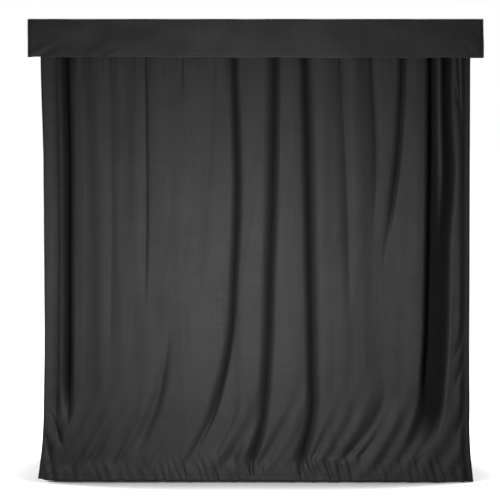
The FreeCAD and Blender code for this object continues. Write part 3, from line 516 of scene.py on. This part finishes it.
def lattice(rows, columns, closed=False, first=0):
    """The four-cornered faces of a grid of points, joined up after the last column where it is closed."""
    index = first + np.arange(rows * columns).reshape(rows, columns)
    if closed:
        index = np.concatenate([index, index[:, :1]], 1)
    return np.stack([index[:-1, :-1], index[1:, :-1], index[1:, 1:], index[:-1, 1:]], -1).reshape(-1, 4)


def turned(profile, centre, facing_x=False, around=48, radius_of=None):
    """Points and faces of a solid of revolution from (radius, height) pairs, upright or facing +X."""
    radius, height = np.array(profile, float).T
    turn = np.linspace(0, 2 * math.pi, around, endpoint=False)
    reach = radius[:, None] * (radius_of(turn) if radius_of else np.ones(around))
    a, b = reach * np.cos(turn), reach * np.sin(turn)
    up = np.broadcast_to(height[:, None], a.shape)
    points = np.stack((up, a, b) if facing_x else (a, b, up), -1) + np.array(centre)
    return points.reshape(-1, 3), lattice(len(profile), around, True)


def together(*shapes):
    """Several (points, faces) as one."""
    points, faces, first = [], [], 0
    for some, quads in shapes:
        points.append(np.asarray(some).reshape(-1, 3))
        faces.extend((np.array(q) + first).tolist() for q in quads)
        first += len(points[-1])
    return np.concatenate(points), faces


def screw(spot, radius=SCREW_R):
    """A domed screw head with a hexagonal socket, facing +X."""
    dome = [(radius * math.sin(a), radius * 0.55 * math.cos(a)) for a in np.radians((90, 70, 50, 35))]
    points, faces = turned([(radius, -0.0002), *dome, (radius * 0.5, radius * 0.46), (radius * 0.46, -0.0001),
                            (0, -0.0001)], spot, True, 36)
    across = points.reshape(-1, 36, 3)
    turn = np.linspace(0, 2 * math.pi, 36, endpoint=False)
    hexagon = math.cos(math.pi / 6) / np.cos(turn % (math.pi / 3) - math.pi / 6)
    for row in (-3, -2):
        across[row, :, 1:] = spot[1:] + (across[row, :, 1:] - spot[1:]) * hexagon[:, None]
    return across.reshape(-1, 3), faces


def screws():
    """The screws that hold the fascia, and those of the coin and print bezels."""
    low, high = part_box("kiosk_fascia")
    spots = [(KIOSK_FACE, sign * (high.y - 0.009), z) for sign in (-1, 1)
             for z in np.linspace(low.z + 0.025, high.z - 0.025, 6)]
    coin_low, coin_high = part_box("coin_unit")
    spots += [(BEZEL_FACE, y, z) for y in (coin_low.y + 0.008, coin_high.y - 0.008)
              for z in (coin_low.z + 0.008, coin_high.z - 0.008)]
    chute_low, chute_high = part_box("print_chute")
    spots += [(BEZEL_FACE, y, z) for y in (chute_low.y + 0.006, chute_high.y - 0.006)
              for z in (chute_low.z + 0.008, chute_low.z + 0.085)]
    points, faces = together(*[screw(np.array(spot), SCREW_R if spot[0] == KIOSK_FACE else 0.0032)
                               for spot in spots])
    return solid("fascia_screws", points, faces, "root", "lock_metal")


def button_trim():
    """A turned collar round each button, a raised ring on the start button and an arrow on the other two."""
    collars, made = [], []
    for node in ("start_button", "left_button", "right_button"):
        low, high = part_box(node)
        centre = np.array((0, (low.y + high.y) / 2, (low.z + high.z) / 2))
        radius = (high.z - low.z) / 2
        rise = [(0.0009, -0.0002), (0.0009, 0.0026), (0.0015, 0.0032), (0.0030, 0.0030), (0.0046, 0.0016),
                (0.0052, -0.0002), (0.0009, -0.0002)]
        profile = [(radius + out, up) for out, up in rise]
        collars.append(turned(profile, centre + (KIOSK_FACE, 0, 0), True, 64))
        top = centre + (high.x, 0, 0)
        if node == "start_button":
            ring = [(0.0125, -0.0002), (0.0127, 0.0004), (0.0135, 0.0006), (0.0143, 0.0004),
                    (0.0145, -0.0002), (0.0125, -0.0002)]
            points, faces = turned(ring, top, True, 64)
            made.append(solid("start_ring", points, faces, node, "white_button"))
        else:
            way = -1 if node == "left_button" else 1
            flat = [(way * 0.0058, 0), (-way * 0.0034, 0.0052), (-way * 0.0018, 0), (-way * 0.0034, -0.0052)]
            levels = ((-0.0002, 1), (0.0003, 1), (0.0005, 0.9))
            rows = [[(x, y * shrink, z * shrink) for y, z in flat] for x, shrink in levels]
            points = np.array(rows) + top
            made.append(solid(node.replace("button", "arrow"), points, lattice(3, 4, True), node,
                              "camera_plastic"))
    points, faces = together(*collars)
    return [solid("button_collars", points, faces, "root", "bezel_metal"), *made]


def lens():
    """The lens: a domed front glass, iris blades behind it, and a knurled focus ring round the barrel."""
    low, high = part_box("camera_lens")
    centre = np.array((0, (low.y + high.y) / 2, (low.z + high.z) / 2))
    radius = (high.z - low.z) / 2
    dome = [(radius * k, high.x - 0.0022 * k * k) for k in np.linspace(0, 0.97, 12)]
    glass = turned([*dome, (radius, high.x - 0.0025), (radius, low.x + 0.0012), (0, low.x + 0.0012)], centre,
                   True, 72)
    steps = [(1, 0), (1, 0.0011), (0.80, 0.0009), (0.78, 0.0006), (0.55, 0.0005), (0.53, 0.0003),
             (0.26, 0.0002), (0.25, 0), (0, 0)]
    iris = turned([(radius * share, low.x + up) for share, up in steps], centre, True, 72)
    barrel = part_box("camera")[1]
    wide = barrel.z - centre[2]
    ring = [(wide - 0.0008, -0.0130), (wide + 0.0008, -0.0125), (wide + 0.0010, -0.0035),
            (wide - 0.0002, -0.0028), (wide - 0.0008, -0.0028), (wide - 0.0008, -0.0130)]
    knurl = turned([(r, barrel.x + along) for r, along in ring], centre, True, 240,
                   lambda turn: 1 + 0.010 * (np.sin(turn * 60) > 0))
    return [
        solid("lens_glass", *glass, "camera_head", "window_glass", "camera_lens"),
        solid("lens_iris", *iris, "camera_head", "camera_plastic"),
        solid("focus_ring", *knurl, "camera_head", "camera_plastic"),
    ]


def screen():
    """The display's lit face: a sheet of glass, rounded at its corners, in the fascia's opening."""
    low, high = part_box("display")
    margin = 0.0085
    half_y, half_z = high.y - margin - 0.0006, (high.z - low.z) / 2 - margin - 0.0006
    corner = 0.006
    outline = []
    for sy, sz, start in ((1, 1, 0), (-1, 1, 90), (-1, -1, 180), (1, -1, 270)):
        for a in np.radians(np.linspace(start, start + 90, 8)):
            outline.append((sy * (half_y - corner) + corner * math.cos(a),
                            sz * (half_z - corner) + corner * math.sin(a)))
    rows = [[(x, y * (1 - inset / half_y), z * (1 - inset / half_z)) for y, z in outline]
            for x, inset in ((0, 0), (0.0004, 0), (0.0007, 0.0004))]
    points = np.array(rows) + (high.x, 0, (low.z + high.z) / 2)
    return solid("screen_glass", points, lattice(3, len(outline), True), "root", "display_plastic")


def mat():
    """The anti-slip mat: ribs along the booth, within a border that thins towards its edge."""
    low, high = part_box("floor_mat")
    pitch, border, thin = 0.0064, 0.016, 0.0008
    steps = [(0.0, 0), (0.0014, 0), (0.0022, 1), (0.0050, 1), (0.0058, 0)]
    count = int((high.y - low.y - 2 * border) / pitch)
    first = -count * pitch / 2
    ys = [low.y, low.y, *(first + k * pitch + at for k in range(count) for at, _ in steps), high.y, high.y]
    ribs = [0, 0, *(up for _ in range(count) for _, up in steps), 0, 0]
    xs = [low.x, low.x, low.x + border, low.x + border + 0.001,
          high.x - border - 0.001, high.x - border, high.x, high.x]
    inside = [0, 0, 0, 1, 1, 0, 0, 0]
    x, y = np.meshgrid(xs, ys)
    rib = np.outer(ribs, inside)
    rim = np.minimum(np.minimum(x - low.x, high.x - x), np.minimum(y - low.y, high.y - y)) / border
    z = low.z + thin + (0.0016 - thin) * np.clip(rim, 0, 1) + (high.z - low.z - 0.0016) * rib
    z[[0, -1], :] = low.z
    z[:, [0, -1]] = low.z
    points = np.stack([x, y, z], -1)
    return solid("ribbed_mat", points, lattice(*x.shape), "root", "mat_rubber", "floor_mat")


def stuffed(piece, held, most):
    """Lets the stuffing swell a closed cover between the held points, moving none by more than most."""
    scene = bpy.context.scene
    start = np.array([v.co for v in piece.data.vertices])
    piece.vertex_groups.new(name="seams").add(np.flatnonzero(held).tolist(), 1.0, "REPLACE")
    cloth = piece.modifiers.new("stuffing", "CLOTH")
    cloth.settings.use_pressure = True
    cloth.settings.uniform_pressure_force = 4
    cloth.settings.effector_weights.gravity = 0
    cloth.settings.vertex_group_mass = "seams"
    cloth.point_cache.frame_end = 20
    for step in range(1, 21):
        scene.frame_set(step)
    result = piece.evaluated_get(bpy.context.evaluated_depsgraph_get())
    swollen = np.array([v.co for v in result.data.vertices])
    piece.modifiers.remove(cloth)
    piece.vertex_groups.clear()
    scene.frame_set(1)
    moved = swollen - start
    far = np.linalg.norm(moved, axis=1, keepdims=True)
    moved *= most / np.maximum(far, most)
    piece.data.vertices.foreach_set("co", (start + moved).astype(np.float32).ravel())
    piece.data.update()


def cushion():
    """The stool's seat: a crowned top and a boxed side, each sewn to a piped seam."""
    low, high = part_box("seat_cushion")
    radius, tall = (high.x - low.x) / 2, high.z - low.z
    centre = np.array(((low.x + high.x) / 2, (low.y + high.y) / 2, low.z))
    cord, seam = 0.0040, radius - 0.0046
    levels = (0.010, tall - 0.014)

    def piping(level):
        round_it = np.radians(np.linspace(-80, 80, 9))
        return [(seam + cord * math.cos(a), level + cord * math.sin(a)) for a in round_it]

    base = [(r, 0.0008) for r in np.linspace(0, radius - 0.012, 10)] + [(radius - 0.007, 0.003)]
    side = [(seam + 0.0008, z) for z in np.linspace(levels[0] + cord + 0.001, levels[1] - cord - 0.001, 12)]
    crown = [(r, levels[1] + cord + 0.0005 + 0.0035 * (1 - (r / seam) ** 2))
             for r in np.linspace(seam - 0.002, 0, 30)]
    profile = base + piping(levels[0]) + side + piping(levels[1]) + crown
    points, faces = turned(profile, centre, around=120)
    piece = solid("seat_cover", points, faces, "stool_seat", "cushion_vinyl", "seat_cushion")
    spots = np.array([v.co for v in piece.data.vertices]) - centre
    from_seam = np.hypot(spots[:, 0], spots[:, 1]) - seam
    on_piping = np.min([np.hypot(from_seam, spots[:, 2] - level) for level in levels], 0) < cord * 1.15
    stuffed(piece, on_piping | (spots[:, 2] < levels[0]), 0.0060)
    spots = np.array([v.co for v in piece.data.vertices]) - centre
    reach, turn = np.hypot(spots[:, 0], spots[:, 1]), np.arctan2(spots[:, 1], spots[:, 0])
    top = (spots[:, 2] > levels[1] + cord * 0.6) & (reach < seam)
    draw = np.random.default_rng(17)
    puckers = sum(np.sin(turn * n + draw.uniform(0, 6.3)) for n in (31, 43, 52, 67)) / 2
    spots[:, 2] -= 0.0006 * top * np.exp(-(seam - reach) / 0.014) * (1 + puckers)
    spots[:, 2] -= 0.0010 * top * np.exp(-((reach / 0.07) ** 2))
    piece.data.vertices.foreach_set("co", (spots + centre).astype(np.float32).ravel())
    piece.data.update()
    piece.modifiers.new("smooth", "SUBSURF").render_levels = 1
    return piece


# ---------------------------------------------------------------- materials


class Surface:
    """A Principled material, and the few kinds of node that its looks are made from."""

    def __init__(self, name, colour, roughness, **sockets):
        self.made = bpy.data.materials.new(name)
        self.made.use_nodes = True
        self.tree = self.made.node_tree
        self.shader = self.tree.nodes["Principled BSDF"]
        self.shader.inputs["Base Color"].default_value = (*colour, 1)
        self.shader.inputs["Roughness"].default_value = roughness
        self.colour = colour
        self.rounded = None
        for socket, value in sockets.items():
            self.shader.inputs[socket.replace("_", " ")].default_value = value

    def node(self, kind, settings=(), **inputs):
        made = self.tree.nodes.new("ShaderNode" + kind)
        for setting, value in dict(settings).items():
            setattr(made, setting, value)
        for socket, value in inputs.items():
            found = made.inputs[socket.replace("_", " ")]
            if isinstance(value, bpy.types.NodeSocket):
                self.tree.links.new(value, found)
            else:
                found.default_value = value
        return made

    def place(self, cloth=False, stretch=(1, 1, 1)):
        """Places on the piece or along its cloth, in metres, drawn out along some of its axes."""
        if cloth:
            spot = self.node("UVMap", {"uv_map": "cloth"}).outputs["UV"]
        else:
            spot = self.node("TexCoord").outputs["Object"]
        return self.node("Mapping", Vector=spot, Scale=stretch).outputs["Vector"]

    def noise(self, size, spot=None, detail=3, rough=0.5):
        """Unevenness about size metres across."""
        spot = spot or self.place()
        made = self.node("TexNoise", Vector=spot, Scale=1 / size, Detail=detail, Roughness=rough)
        return made.outputs["Fac"]

    def bands(self, direction, pitch, spot=None, **sockets):
        """Ripples pitch metres apart along X, Y, Z or DIAGONAL."""
        scale = 2 * math.pi / (20 * pitch)
        return self.node("TexWave", {"bands_direction": direction}, Vector=spot or self.place(), Scale=scale,
                         **sockets).outputs["Fac"]

    def drive(self, socket, value):
        self.tree.links.new(value, self.shader.inputs[socket])

    def between(self, value, start, end, low, high):
        return self.node("MapRange", Value=value, From_Min=start, From_Max=end, To_Min=low,
                         To_Max=high).outputs["Result"]

    def attribute(self, name):
        return self.node("Attribute", {"attribute_name": name}).outputs["Fac"]

    def maths(self, operation, a, b):
        made = self.node("Math", {"operation": operation})
        for socket, value in zip(made.inputs, (a, b)):
            if isinstance(value, bpy.types.NodeSocket):
                self.tree.links.new(value, socket)
            else:
                socket.default_value = value
        return made.outputs[0]

    def tint(self, value, *stops):
        """Colour that is the surface's own times a share, from (value, share) stops."""
        ramp = self.node("ValToRGB", Fac=value)
        elements = ramp.color_ramp.elements
        while len(elements) < len(stops):
            elements.new(0.5)
        for element, (position, share) in zip(elements, stops):
            element.position = position
            element.color = (*(min(c * share, 1) for c in self.colour), 1)
        self.drive("Base Color", ramp.outputs["Color"])
        return self

    def edges(self, width):
        """1 on sharp edges and 0 from width metres away; bumps laid later soften these edges too."""
        self.rounded = self.node("Bevel", {"samples": 4}, Radius=width).outputs["Normal"]
        flat = self.node("NewGeometry").outputs["Normal"]
        facing = self.node("VectorMath", {"operation": "DOT_PRODUCT"})
        self.tree.links.new(self.rounded, facing.inputs[0])
        self.tree.links.new(flat, facing.inputs[1])
        return self.between(facing.outputs["Value"], 0.99, 0.80, 0, 1)

    def sum(self, *parts):
        """The total of (value, weight) pairs."""
        total = None
        for value, weight in parts:
            part = self.maths("MULTIPLY", value, weight)
            total = self.maths("ADD", total, part) if total else part
        return total

    def rough(self, value, low, high, start=0.3, end=0.7):
        self.drive("Roughness", self.between(value, start, end, low, high))
        return self

    def bump(self, *heights):
        """Relief from (height, depth in metres) pairs, each laid over the one before."""
        normal = self.rounded
        for height, depth in heights:
            made = self.node("Bump", Height=height, Distance=depth)
            if normal:
                self.tree.links.new(normal, made.inputs["Normal"])
            normal = made.outputs["Normal"]
        self.drive("Normal", normal)
        return self


def weave(surface, pitch):
    """The height of a plain weave, threads pitch metres apart."""
    spot = surface.place(cloth=True)
    along, across = (surface.bands(way, pitch, spot, Distortion=0.4) for way in "XY")
    return surface.maths("MULTIPLY", along, across)


def stitches(surface, height):
    """A line of stitches at a height above the hem: 1 on the thread."""
    above = surface.attribute("above_hem")
    line = surface.maths("COMPARE", above, height)
    line.node.inputs[2].default_value = 0.0006
    dashes = surface.bands("X", 0.004, surface.place(cloth=True))
    return surface.maths("MULTIPLY", line, surface.maths("GREATER_THAN", dashes, 0.35))


def drape_cloth(name, colour, rough):
    """Near-black polyester: threads, faint streaks down the cloth, a stitched hem, rougher in its folds, where
    painted shade darkens it.
    """
    made = Surface(name, colour, rough, Sheen_Weight=0.02, Sheen_Roughness=0.5)
    fold = made.attribute("fold")
    streaks = made.noise(0.012, made.place(True, (1, 0.03, 1)), 2)
    slubs = made.noise(0.010, made.place(True, (0.06, 1, 1)), 2)
    mottle = made.noise(0.16, made.place(True), 3)
    mixed = made.maths("ADD", made.maths("ADD", streaks, slubs), mottle)
    light = made.between(mixed, 1.1, 1.9, 0.80, 1.20)
    # painted shade: the colour falls to a tenth of its own where the cloth lies deep in a fold
    painted_fold_shade = made.between(fold, 0.30, 0.80, 1.0, 0.10)
    lightness = made.maths("MULTIPLY", light, painted_fold_shade)
    made.tint(lightness, (0, 0), (1, 1.6))
    dull = made.between(fold, 0.30, 0.80, 0.0, 0.36)
    even = made.between(mixed, 1.1, 1.9, rough + 0.035, rough - 0.035)
    made.drive("Roughness", made.maths("ADD", even, dull))
    made.bump((weave(made, 0.0011), 0.00012), (streaks, 0.0004), (slubs, 0.0001),
              (stitches(made, 0.030), 0.0010))
    return made.made


def moulded(name, colour, rough, grain=0.0010, depth=0.00008, lightness=1.5, **sockets):
    """Moulded plastic, paint or powder coat: fine grain, patches of wear in its gloss, paler edges."""
    made = Surface(name, colour, rough, **sockets)
    edge = made.edges(0.0012)
    patches = made.noise(0.11, detail=4)
    smudges = made.noise(0.028, detail=5, rough=0.65)
    grains = made.noise(grain, detail=2)
    mixed = made.sum((patches, 0.45), (smudges, 0.25), (grains, 0.3), (edge, 0.35))
    made.tint(mixed, (0.30, 0.80), (0.55, 1.08), (1.0, lightness))
    made.rough(made.sum((smudges, 0.6), (patches, 0.4)), rough * 0.85, min(rough * 1.2, 1))
    return made.bump((grains, depth), (smudges, depth)).made


def metal(name, colour, rough, along=(1, 1, 1), **sockets):
    """Bare or anodised metal, with fine lines drawn out along one axis, smudges, and edges rubbed bright."""
    made = Surface(name, colour, rough, Metallic=1.0, **sockets)
    edge = made.edges(0.0010)
    lines = made.noise(0.0009, made.place(stretch=along), 2)
    wide = made.noise(0.006, made.place(stretch=along), 2)
    smudges = made.noise(0.045, detail=5, rough=0.6)
    mixed = made.sum((lines, 0.4), (wide, 0.3), (smudges, 0.3), (edge, 0.3))
    made.tint(mixed, (0.30, 0.62), (0.55, 0.84), (0.95, 1.15))
    made.rough(made.sum((lines, 0.3), (smudges, 0.7)), rough * 0.75, rough * 1.35)
    return made.bump((lines, 0.00003), (wide, 0.00003)).made


def rubber(name, colour, **sockets):
    """Dull black rubber with a bloom of dust in its fine pits."""
    made = Surface(name, colour, 0.8, **sockets)
    edge = made.edges(0.0015)
    pits = made.noise(0.0014, detail=3)
    dust = made.noise(0.05, detail=6, rough=0.7)
    made.tint(made.sum((dust, 0.7), (pits, 0.3), (edge, 0.15)), (0.35, 0.75), (0.55, 1.2), (0.8, 2.2))
    made.rough(dust, 0.68, 0.92)
    return made.bump((pits, 0.00015)).made


def filmed_board(name, colour):
    """Birch plywood under a brown film pressed with a wire-mesh pattern; its plies show at the cut edges."""
    made = Surface(name, colour, 0.5, Coat_Weight=0.15, Coat_Roughness=0.3)
    edge = made.edges(0.0010)
    across = made.bands("DIAGONAL", 0.0055)
    other = made.bands("DIAGONAL", 0.0055, made.place(stretch=(1, -1, 1)))
    mesh = made.maths("MAXIMUM", across, other)
    grain = made.noise(0.012, made.place(stretch=(0.06, 1, 1)), 4)
    scuffs = made.noise(0.07, detail=6, rough=0.7)
    made.tint(made.sum((grain, 0.4), (scuffs, 0.5), (edge, 0.4)), (0.32, 0.65), (0.5, 1.1), (0.9, 2.4))
    made.rough(scuffs, 0.38, 0.66)
    return made.bump((mesh, 0.0003), (grain, 0.0001)).made


def hook_loop(name, colour):
    """Hook-and-loop tape: a pile of tiny loops with a plain selvedge weave under it."""
    made = Surface(name, colour, 0.85, Sheen_Weight=0.25, Sheen_Roughness=0.4)
    loops = made.node("TexVoronoi", Vector=made.place(), Scale=1 / 0.0012).outputs["Distance"]
    fuzz = made.noise(0.0007, detail=3)
    made.tint(made.sum((loops, 0.6), (fuzz, 0.4)), (0.2, 0.5), (0.7, 1.5))
    made.rough(fuzz, 0.75, 0.95)
    return made.bump((loops, 0.0005), (fuzz, 0.0002)).made


def see_through(name, colour, rough, **sockets):
    """Clear window or cover: faint smears in its gloss and a hair of haze in its tint."""
    made = Surface(name, colour, rough, Transmission_Weight=1.0, IOR=1.47, **sockets)
    smears = made.noise(0.05, made.place(stretch=(1, 1, 0.4)), 5, 0.7)
    made.tint(smears, (0.3, 0.92), (0.7, 1.04))
    made.rough(smears, rough * 0.6, rough * 2.2)
    return made.bump((smears, 0.00003)).made


def opal(name, colour):
    """Opal diffuser with the lamp behind it: a cloudy glow, with the fine prisms of its face."""
    made = Surface(name, colour, 0.45, Subsurface_Weight=0.3, Subsurface_Radius=(0.01, 0.01, 0.01),
                   Emission_Color=(1.0, 0.95, 0.86, 1))
    prisms = made.bands("Z", 0.003)
    cloudy = made.noise(0.08, detail=3)
    made.tint(made.sum((prisms, 0.3), (cloudy, 0.7)), (0.3, 0.94), (0.7, 1.02))
    made.drive("Emission Strength", made.between(cloudy, 0.3, 0.7, 0.7, 1.0))
    made.rough(cloudy, 0.38, 0.52)
    return made.bump((prisms, 0.0001)).made


def paper(name, colour):
    """Roll of photo paper: the layers of its winding at the ends, a satin face."""
    made = Surface(name, colour, 0.35)
    fibres = made.noise(0.0016, detail=4)
    layers = made.noise(0.0006, made.place(stretch=(1, 0.02, 1)), 2)
    made.tint(made.sum((fibres, 0.5), (layers, 0.5)), (0.3, 0.88), (0.7, 1.02))
    made.rough(fibres, 0.28, 0.46)
    return made.bump((layers, 0.0002), (fibres, 0.00003)).made


def vinyl(name, colour):
    """Upholstery vinyl: embossed leather grain of small cells, glossier where it is sat on."""
    made = Surface(name, colour, 0.4, Coat_Weight=0.12, Coat_Roughness=0.35)
    cells = made.node("TexVoronoi", {"feature": "DISTANCE_TO_EDGE"}, Vector=made.place(), Scale=1 / 0.0026)
    wear = made.noise(0.06, detail=5, rough=0.6)
    fine = made.noise(0.0012, detail=3)
    made.tint(made.sum((wear, 0.8), (fine, 0.2)), (0.3, 0.75), (0.6, 1.25), (0.85, 1.7))
    made.rough(wear, 0.30, 0.52)
    creases = made.between(cells.outputs["Distance"], 0, 0.18, 0, 1)
    return made.bump((creases, 0.00022), (fine, 0.00005)).made


def lit_screen(name, colour):
    """Glass over a lit picture: a gradient, a plain ring to sit square to, and four blank frames in a row."""
    low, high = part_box("display")
    made = Surface(name, colour, 0.12, Coat_Weight=0.6, Coat_Roughness=0.05)
    spot = made.node("SeparateXYZ", Vector=made.place())
    y = spot.outputs["Y"]
    z = made.maths("SUBTRACT", spot.outputs["Z"], (low.z + high.z) / 2)
    half_y, half_z = high.y - 0.020, (high.z - low.z) / 2 - 0.020

    def within(value, middle, reach):
        gap = made.maths("ABSOLUTE", made.maths("SUBTRACT", value, middle), 0)
        return made.maths("LESS_THAN", gap, reach)

    lit = made.maths("MULTIPLY", within(y, 0, half_y), within(z, 0, half_z))
    up = made.maths("SUBTRACT", z, 0.012)
    squared = made.maths("ADD", made.maths("MULTIPLY", y, y), made.maths("MULTIPLY", up, up))
    away = made.maths("SQRT", squared, 0)
    ring = within(away, 0.040, 0.0016)
    row = within(z, -half_z + 0.016, 0.009)
    middles = (-0.045, -0.015, 0.015, 0.045)
    blanks = [made.maths("MULTIPLY", row, within(y, middle, 0.012)) for middle in middles]
    marks = made.sum((ring, 0.5), *((blank, 0.35) for blank in blanks))
    haze = made.noise(0.09, detail=2)
    glow = made.sum((made.between(z, -half_z, half_z, 0.10, 0.34), 1.0), (haze, 0.12), (marks, 1.0))
    made.drive("Emission Strength", made.maths("MULTIPLY", lit, glow))
    made.shader.inputs["Emission Color"].default_value = (0.52, 0.74, 1.0, 1)
    smears = made.noise(0.05, detail=5, rough=0.7)
    made.tint(smears, (0.3, 0.8), (0.7, 1.2))
    made.rough(smears, 0.07, 0.2)
    return made.bump((smears, 0.00002)).made


ALONG = {0: (0.02, 1, 1), 1: (1, 0.02, 1), 2: (1, 1, 0.02)}  # lines drawn out along x, y or z
MOULDED = {  # slot: roughness, size of the grain, its depth, and how pale its edges wear
    "coated_fitting": (0.48, 0.0016, 0.00012, 1.9),
    "moulded_fitting": (0.55, 0.0009, 0.00008, 1.5),
    "batten_plastic": (0.42, 0.0010, 0.00004, 1.4),
    "cabinet_laminate": (0.50, 0.0018, 0.00010, 1.7),
    "bracket_metal": (0.42, 0.0007, 0.00003, 2.4),
    "fascia_plastic": (0.46, 0.0012, 0.00010, 1.15),
    "camera_plastic": (0.45, 0.0008, 0.00008, 1.8),
    "display_plastic": (0.28, 0.0008, 0.00002, 1.8),
    "green_button": (0.22, 0.0015, 0.00002, 1.3),
    "white_button": (0.24, 0.0015, 0.00002, 1.1),
    "red_button": (0.22, 0.0015, 0.00002, 1.3),
    "printer_plastic": (0.50, 0.0010, 0.00010, 1.4),
    "computer_case": (0.40, 0.0014, 0.00008, 1.5),
    "stool_paint": (0.30, 0.0020, 0.00006, 1.8),
}
METALS = {  # slot: roughness
    "anodised_tube": 0.42,
    "rod_steel": 0.26,
    "lock_metal": 0.12,
    "bezel_metal": 0.24,
    "stool_chrome": 0.09,
}


def finish_for(slot, colour, axis):
    """The material of a slot, its brushed lines along the given axis where it is a metal."""
    if slot in METALS:
        return metal(slot, colour, METALS[slot], ALONG[axis])
    if slot in MOULDED:
        return moulded(slot, colour, *MOULDED[slot])
    others = {"floor_board": filmed_board, "foot_rubber": rubber, "mat_rubber": rubber, "hook_tape": hook_loop,
              "opal_plastic": opal, "print_paper": paper, "cushion_vinyl": vinyl}
    if slot in others:
        return others[slot](slot, colour)
    return see_through(slot, colour, {"window_glass": 0.02, "clear_plastic": 0.06}[slot])


def longest_axis(node):
    low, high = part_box(node)
    return max(range(3), key=lambda k: high[k] - low[k])


def finish_frame():
    """Gives every CAD node that still shows the finish of its slot."""
    record = frame["record"]
    colours = {m["slot"]: m["base_color"][:3] for m in record["materials"]}
    made = {}
    for part in record["subparts"]:
        node, slot = part["node"], part["material_slot"]
        if slot in ("drape_cloth", "valance_cloth"):
            continue
        axis = longest_axis(node) if slot in METALS else 0
        key = f"{slot}_{'xyz'[axis]}" if slot == "anodised_tube" else slot
        if key not in made:
            made[key] = finish_for(slot, colours[slot], axis)
            made[key].name = key
        mesh = nodes[node].data
        mesh.materials.clear()
        mesh.materials.append(made[key])
    return made


# ---------------------------------------------------------------- studio


def area(name, spot, target, wide, power, tall=None):
    light = bpy.data.lights.new(name, "AREA")
    light.shape = "RECTANGLE"
    light.size, light.size_y = wide, tall or wide
    light.energy = power
    lamp = bpy.data.objects.new(name, light)
    lamp.location = spot
    lamp.rotation_euler = (Vector(target) - Vector(spot)).to_track_quat("-Z", "Y").to_euler()
    lamp.visible_camera = False
    bpy.context.scene.collection.objects.link(lamp)


def floor_material():
    """Pale floor, glowing so bright in the open that it runs into the background; beside what stands on it the
    glow is dimmed by ambient occlusion, a painted shadow.
    """
    floor = Surface("floor_white", (0.85, 0.85, 0.85), 0.7, Specular_IOR_Level=0.0,
                    Emission_Color=(1, 1, 1, 1))
    # painted shadow: the floor's glow dims where ambient occlusion finds something standing near
    open_sky = floor.node("AmbientOcclusion", {"samples": 12}, Distance=2.2)
    glow = floor.node("MapRange", {"interpolation_type": "SMOOTHSTEP"}, Value=open_sky.outputs["AO"],
                      From_Min=0.46, From_Max=1.0, To_Min=0.03, To_Max=1.05)
    floor.drive("Emission Strength", glow.outputs["Result"])
    return floor.made


def studio():
    scene = bpy.context.scene
    scene.view_settings.view_transform = "Standard"
    floor = bpy.data.meshes.new("floor")
    far = 60
    floor.from_pydata([(-far, -far, 0), (far, -far, 0), (far, far, 0), (-far, far, 0)], [], [(0, 1, 2, 3)])
    ground = bpy.data.objects.new("floor", floor)
    scene.collection.objects.link(ground)
    ground.data.materials.append(floor_material())
    ground.visible_diffuse = False
    ground.visible_glossy = False

    world = bpy.data.worlds.new("world")
    scene.world = world
    world.use_nodes = True
    tree = world.node_tree
    tree.nodes.clear()
    out = tree.nodes.new("ShaderNodeOutputWorld")
    mix = tree.nodes.new("ShaderNodeMixShader")
    path = tree.nodes.new("ShaderNodeLightPath")
    dim = tree.nodes.new("ShaderNodeBackground")
    white = tree.nodes.new("ShaderNodeBackground")
    dim.inputs["Strength"].default_value = 0.12
    white.inputs["Color"].default_value = (1, 1, 1, 1)
    dim.inputs["Color"].default_value = (1, 1, 1, 1)
    tree.links.new(path.outputs["Is Camera Ray"], mix.inputs["Fac"])
    tree.links.new(dim.outputs[0], mix.inputs[1])
    tree.links.new(white.outputs[0], mix.inputs[2])
    tree.links.new(mix.outputs[0], out.inputs[0])

    area("key", (-0.08, -2.05, 0.86), (-0.08, -0.6, 0.86), 0.36, 23, tall=1.25)
    area("overhead", (0, 0.2, 5.0), (0, 0.2, 0), 6.0, 420, tall=1.4)
    area("left", (-3.4, 0.9, 1.3), (-0.9, 0.1, 1.1), 0.6, 60, tall=1.8)
    area("right", (3.4, 0.9, 1.3), (0.9, 0.1, 1.1), 0.6, 60, tall=1.8)
    area("back", (0.4, 3.3, 1.2), (0.1, 0.6, 1.1), 0.6, 90, tall=1.8)


def camera():
    eye = bpy.data.cameras.new("camera")
    eye.sensor_width = 36
    spot = bpy.data.objects.new("camera", eye)
    bpy.context.scene.collection.objects.link(spot)
    bpy.context.scene.camera = spot
    away = 20.0
    wide = (VALANCE_HIGH.x - VALANCE_LOW.x) / 0.91
    eye.lens = eye.sensor_width * away / wide
    centre = Vector((0.011 * -wide, VALANCE_LOW.y, TOP - wide * (0.5 - 0.038)))
    spot.location = (centre.x, centre.y - away, (TOP + VALANCE_LOW.z) / 2)
    spot.rotation_euler = (centre - spot.location).to_track_quat("-Z", "Y").to_euler()


hung = [front_curtain(), *drapes(), valance(), roof()]
drape_finish = drape_cloth("drape_cloth", (0.012, 0.012, 0.0118), 0.64)
# painted light: the valance cloth is coloured lighter than the drape cloth so that it shows brighter
valance_finish = drape_cloth("valance_cloth", (0.0158, 0.0158, 0.0156), 0.57)
for piece in hung:
    piece.data.materials.append(valance_finish if piece["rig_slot"] == "valance_cloth" else drape_finish)
finishes = finish_frame()
trim = [screws(), *button_trim(), *lens(), mat(), cushion()]
for piece in trim:
    piece.data.materials.append(finishes[piece["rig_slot"]])
screen().data.materials.append(lit_screen("screen_glass", (0.010, 0.011, 0.013)))
studio()
camera()
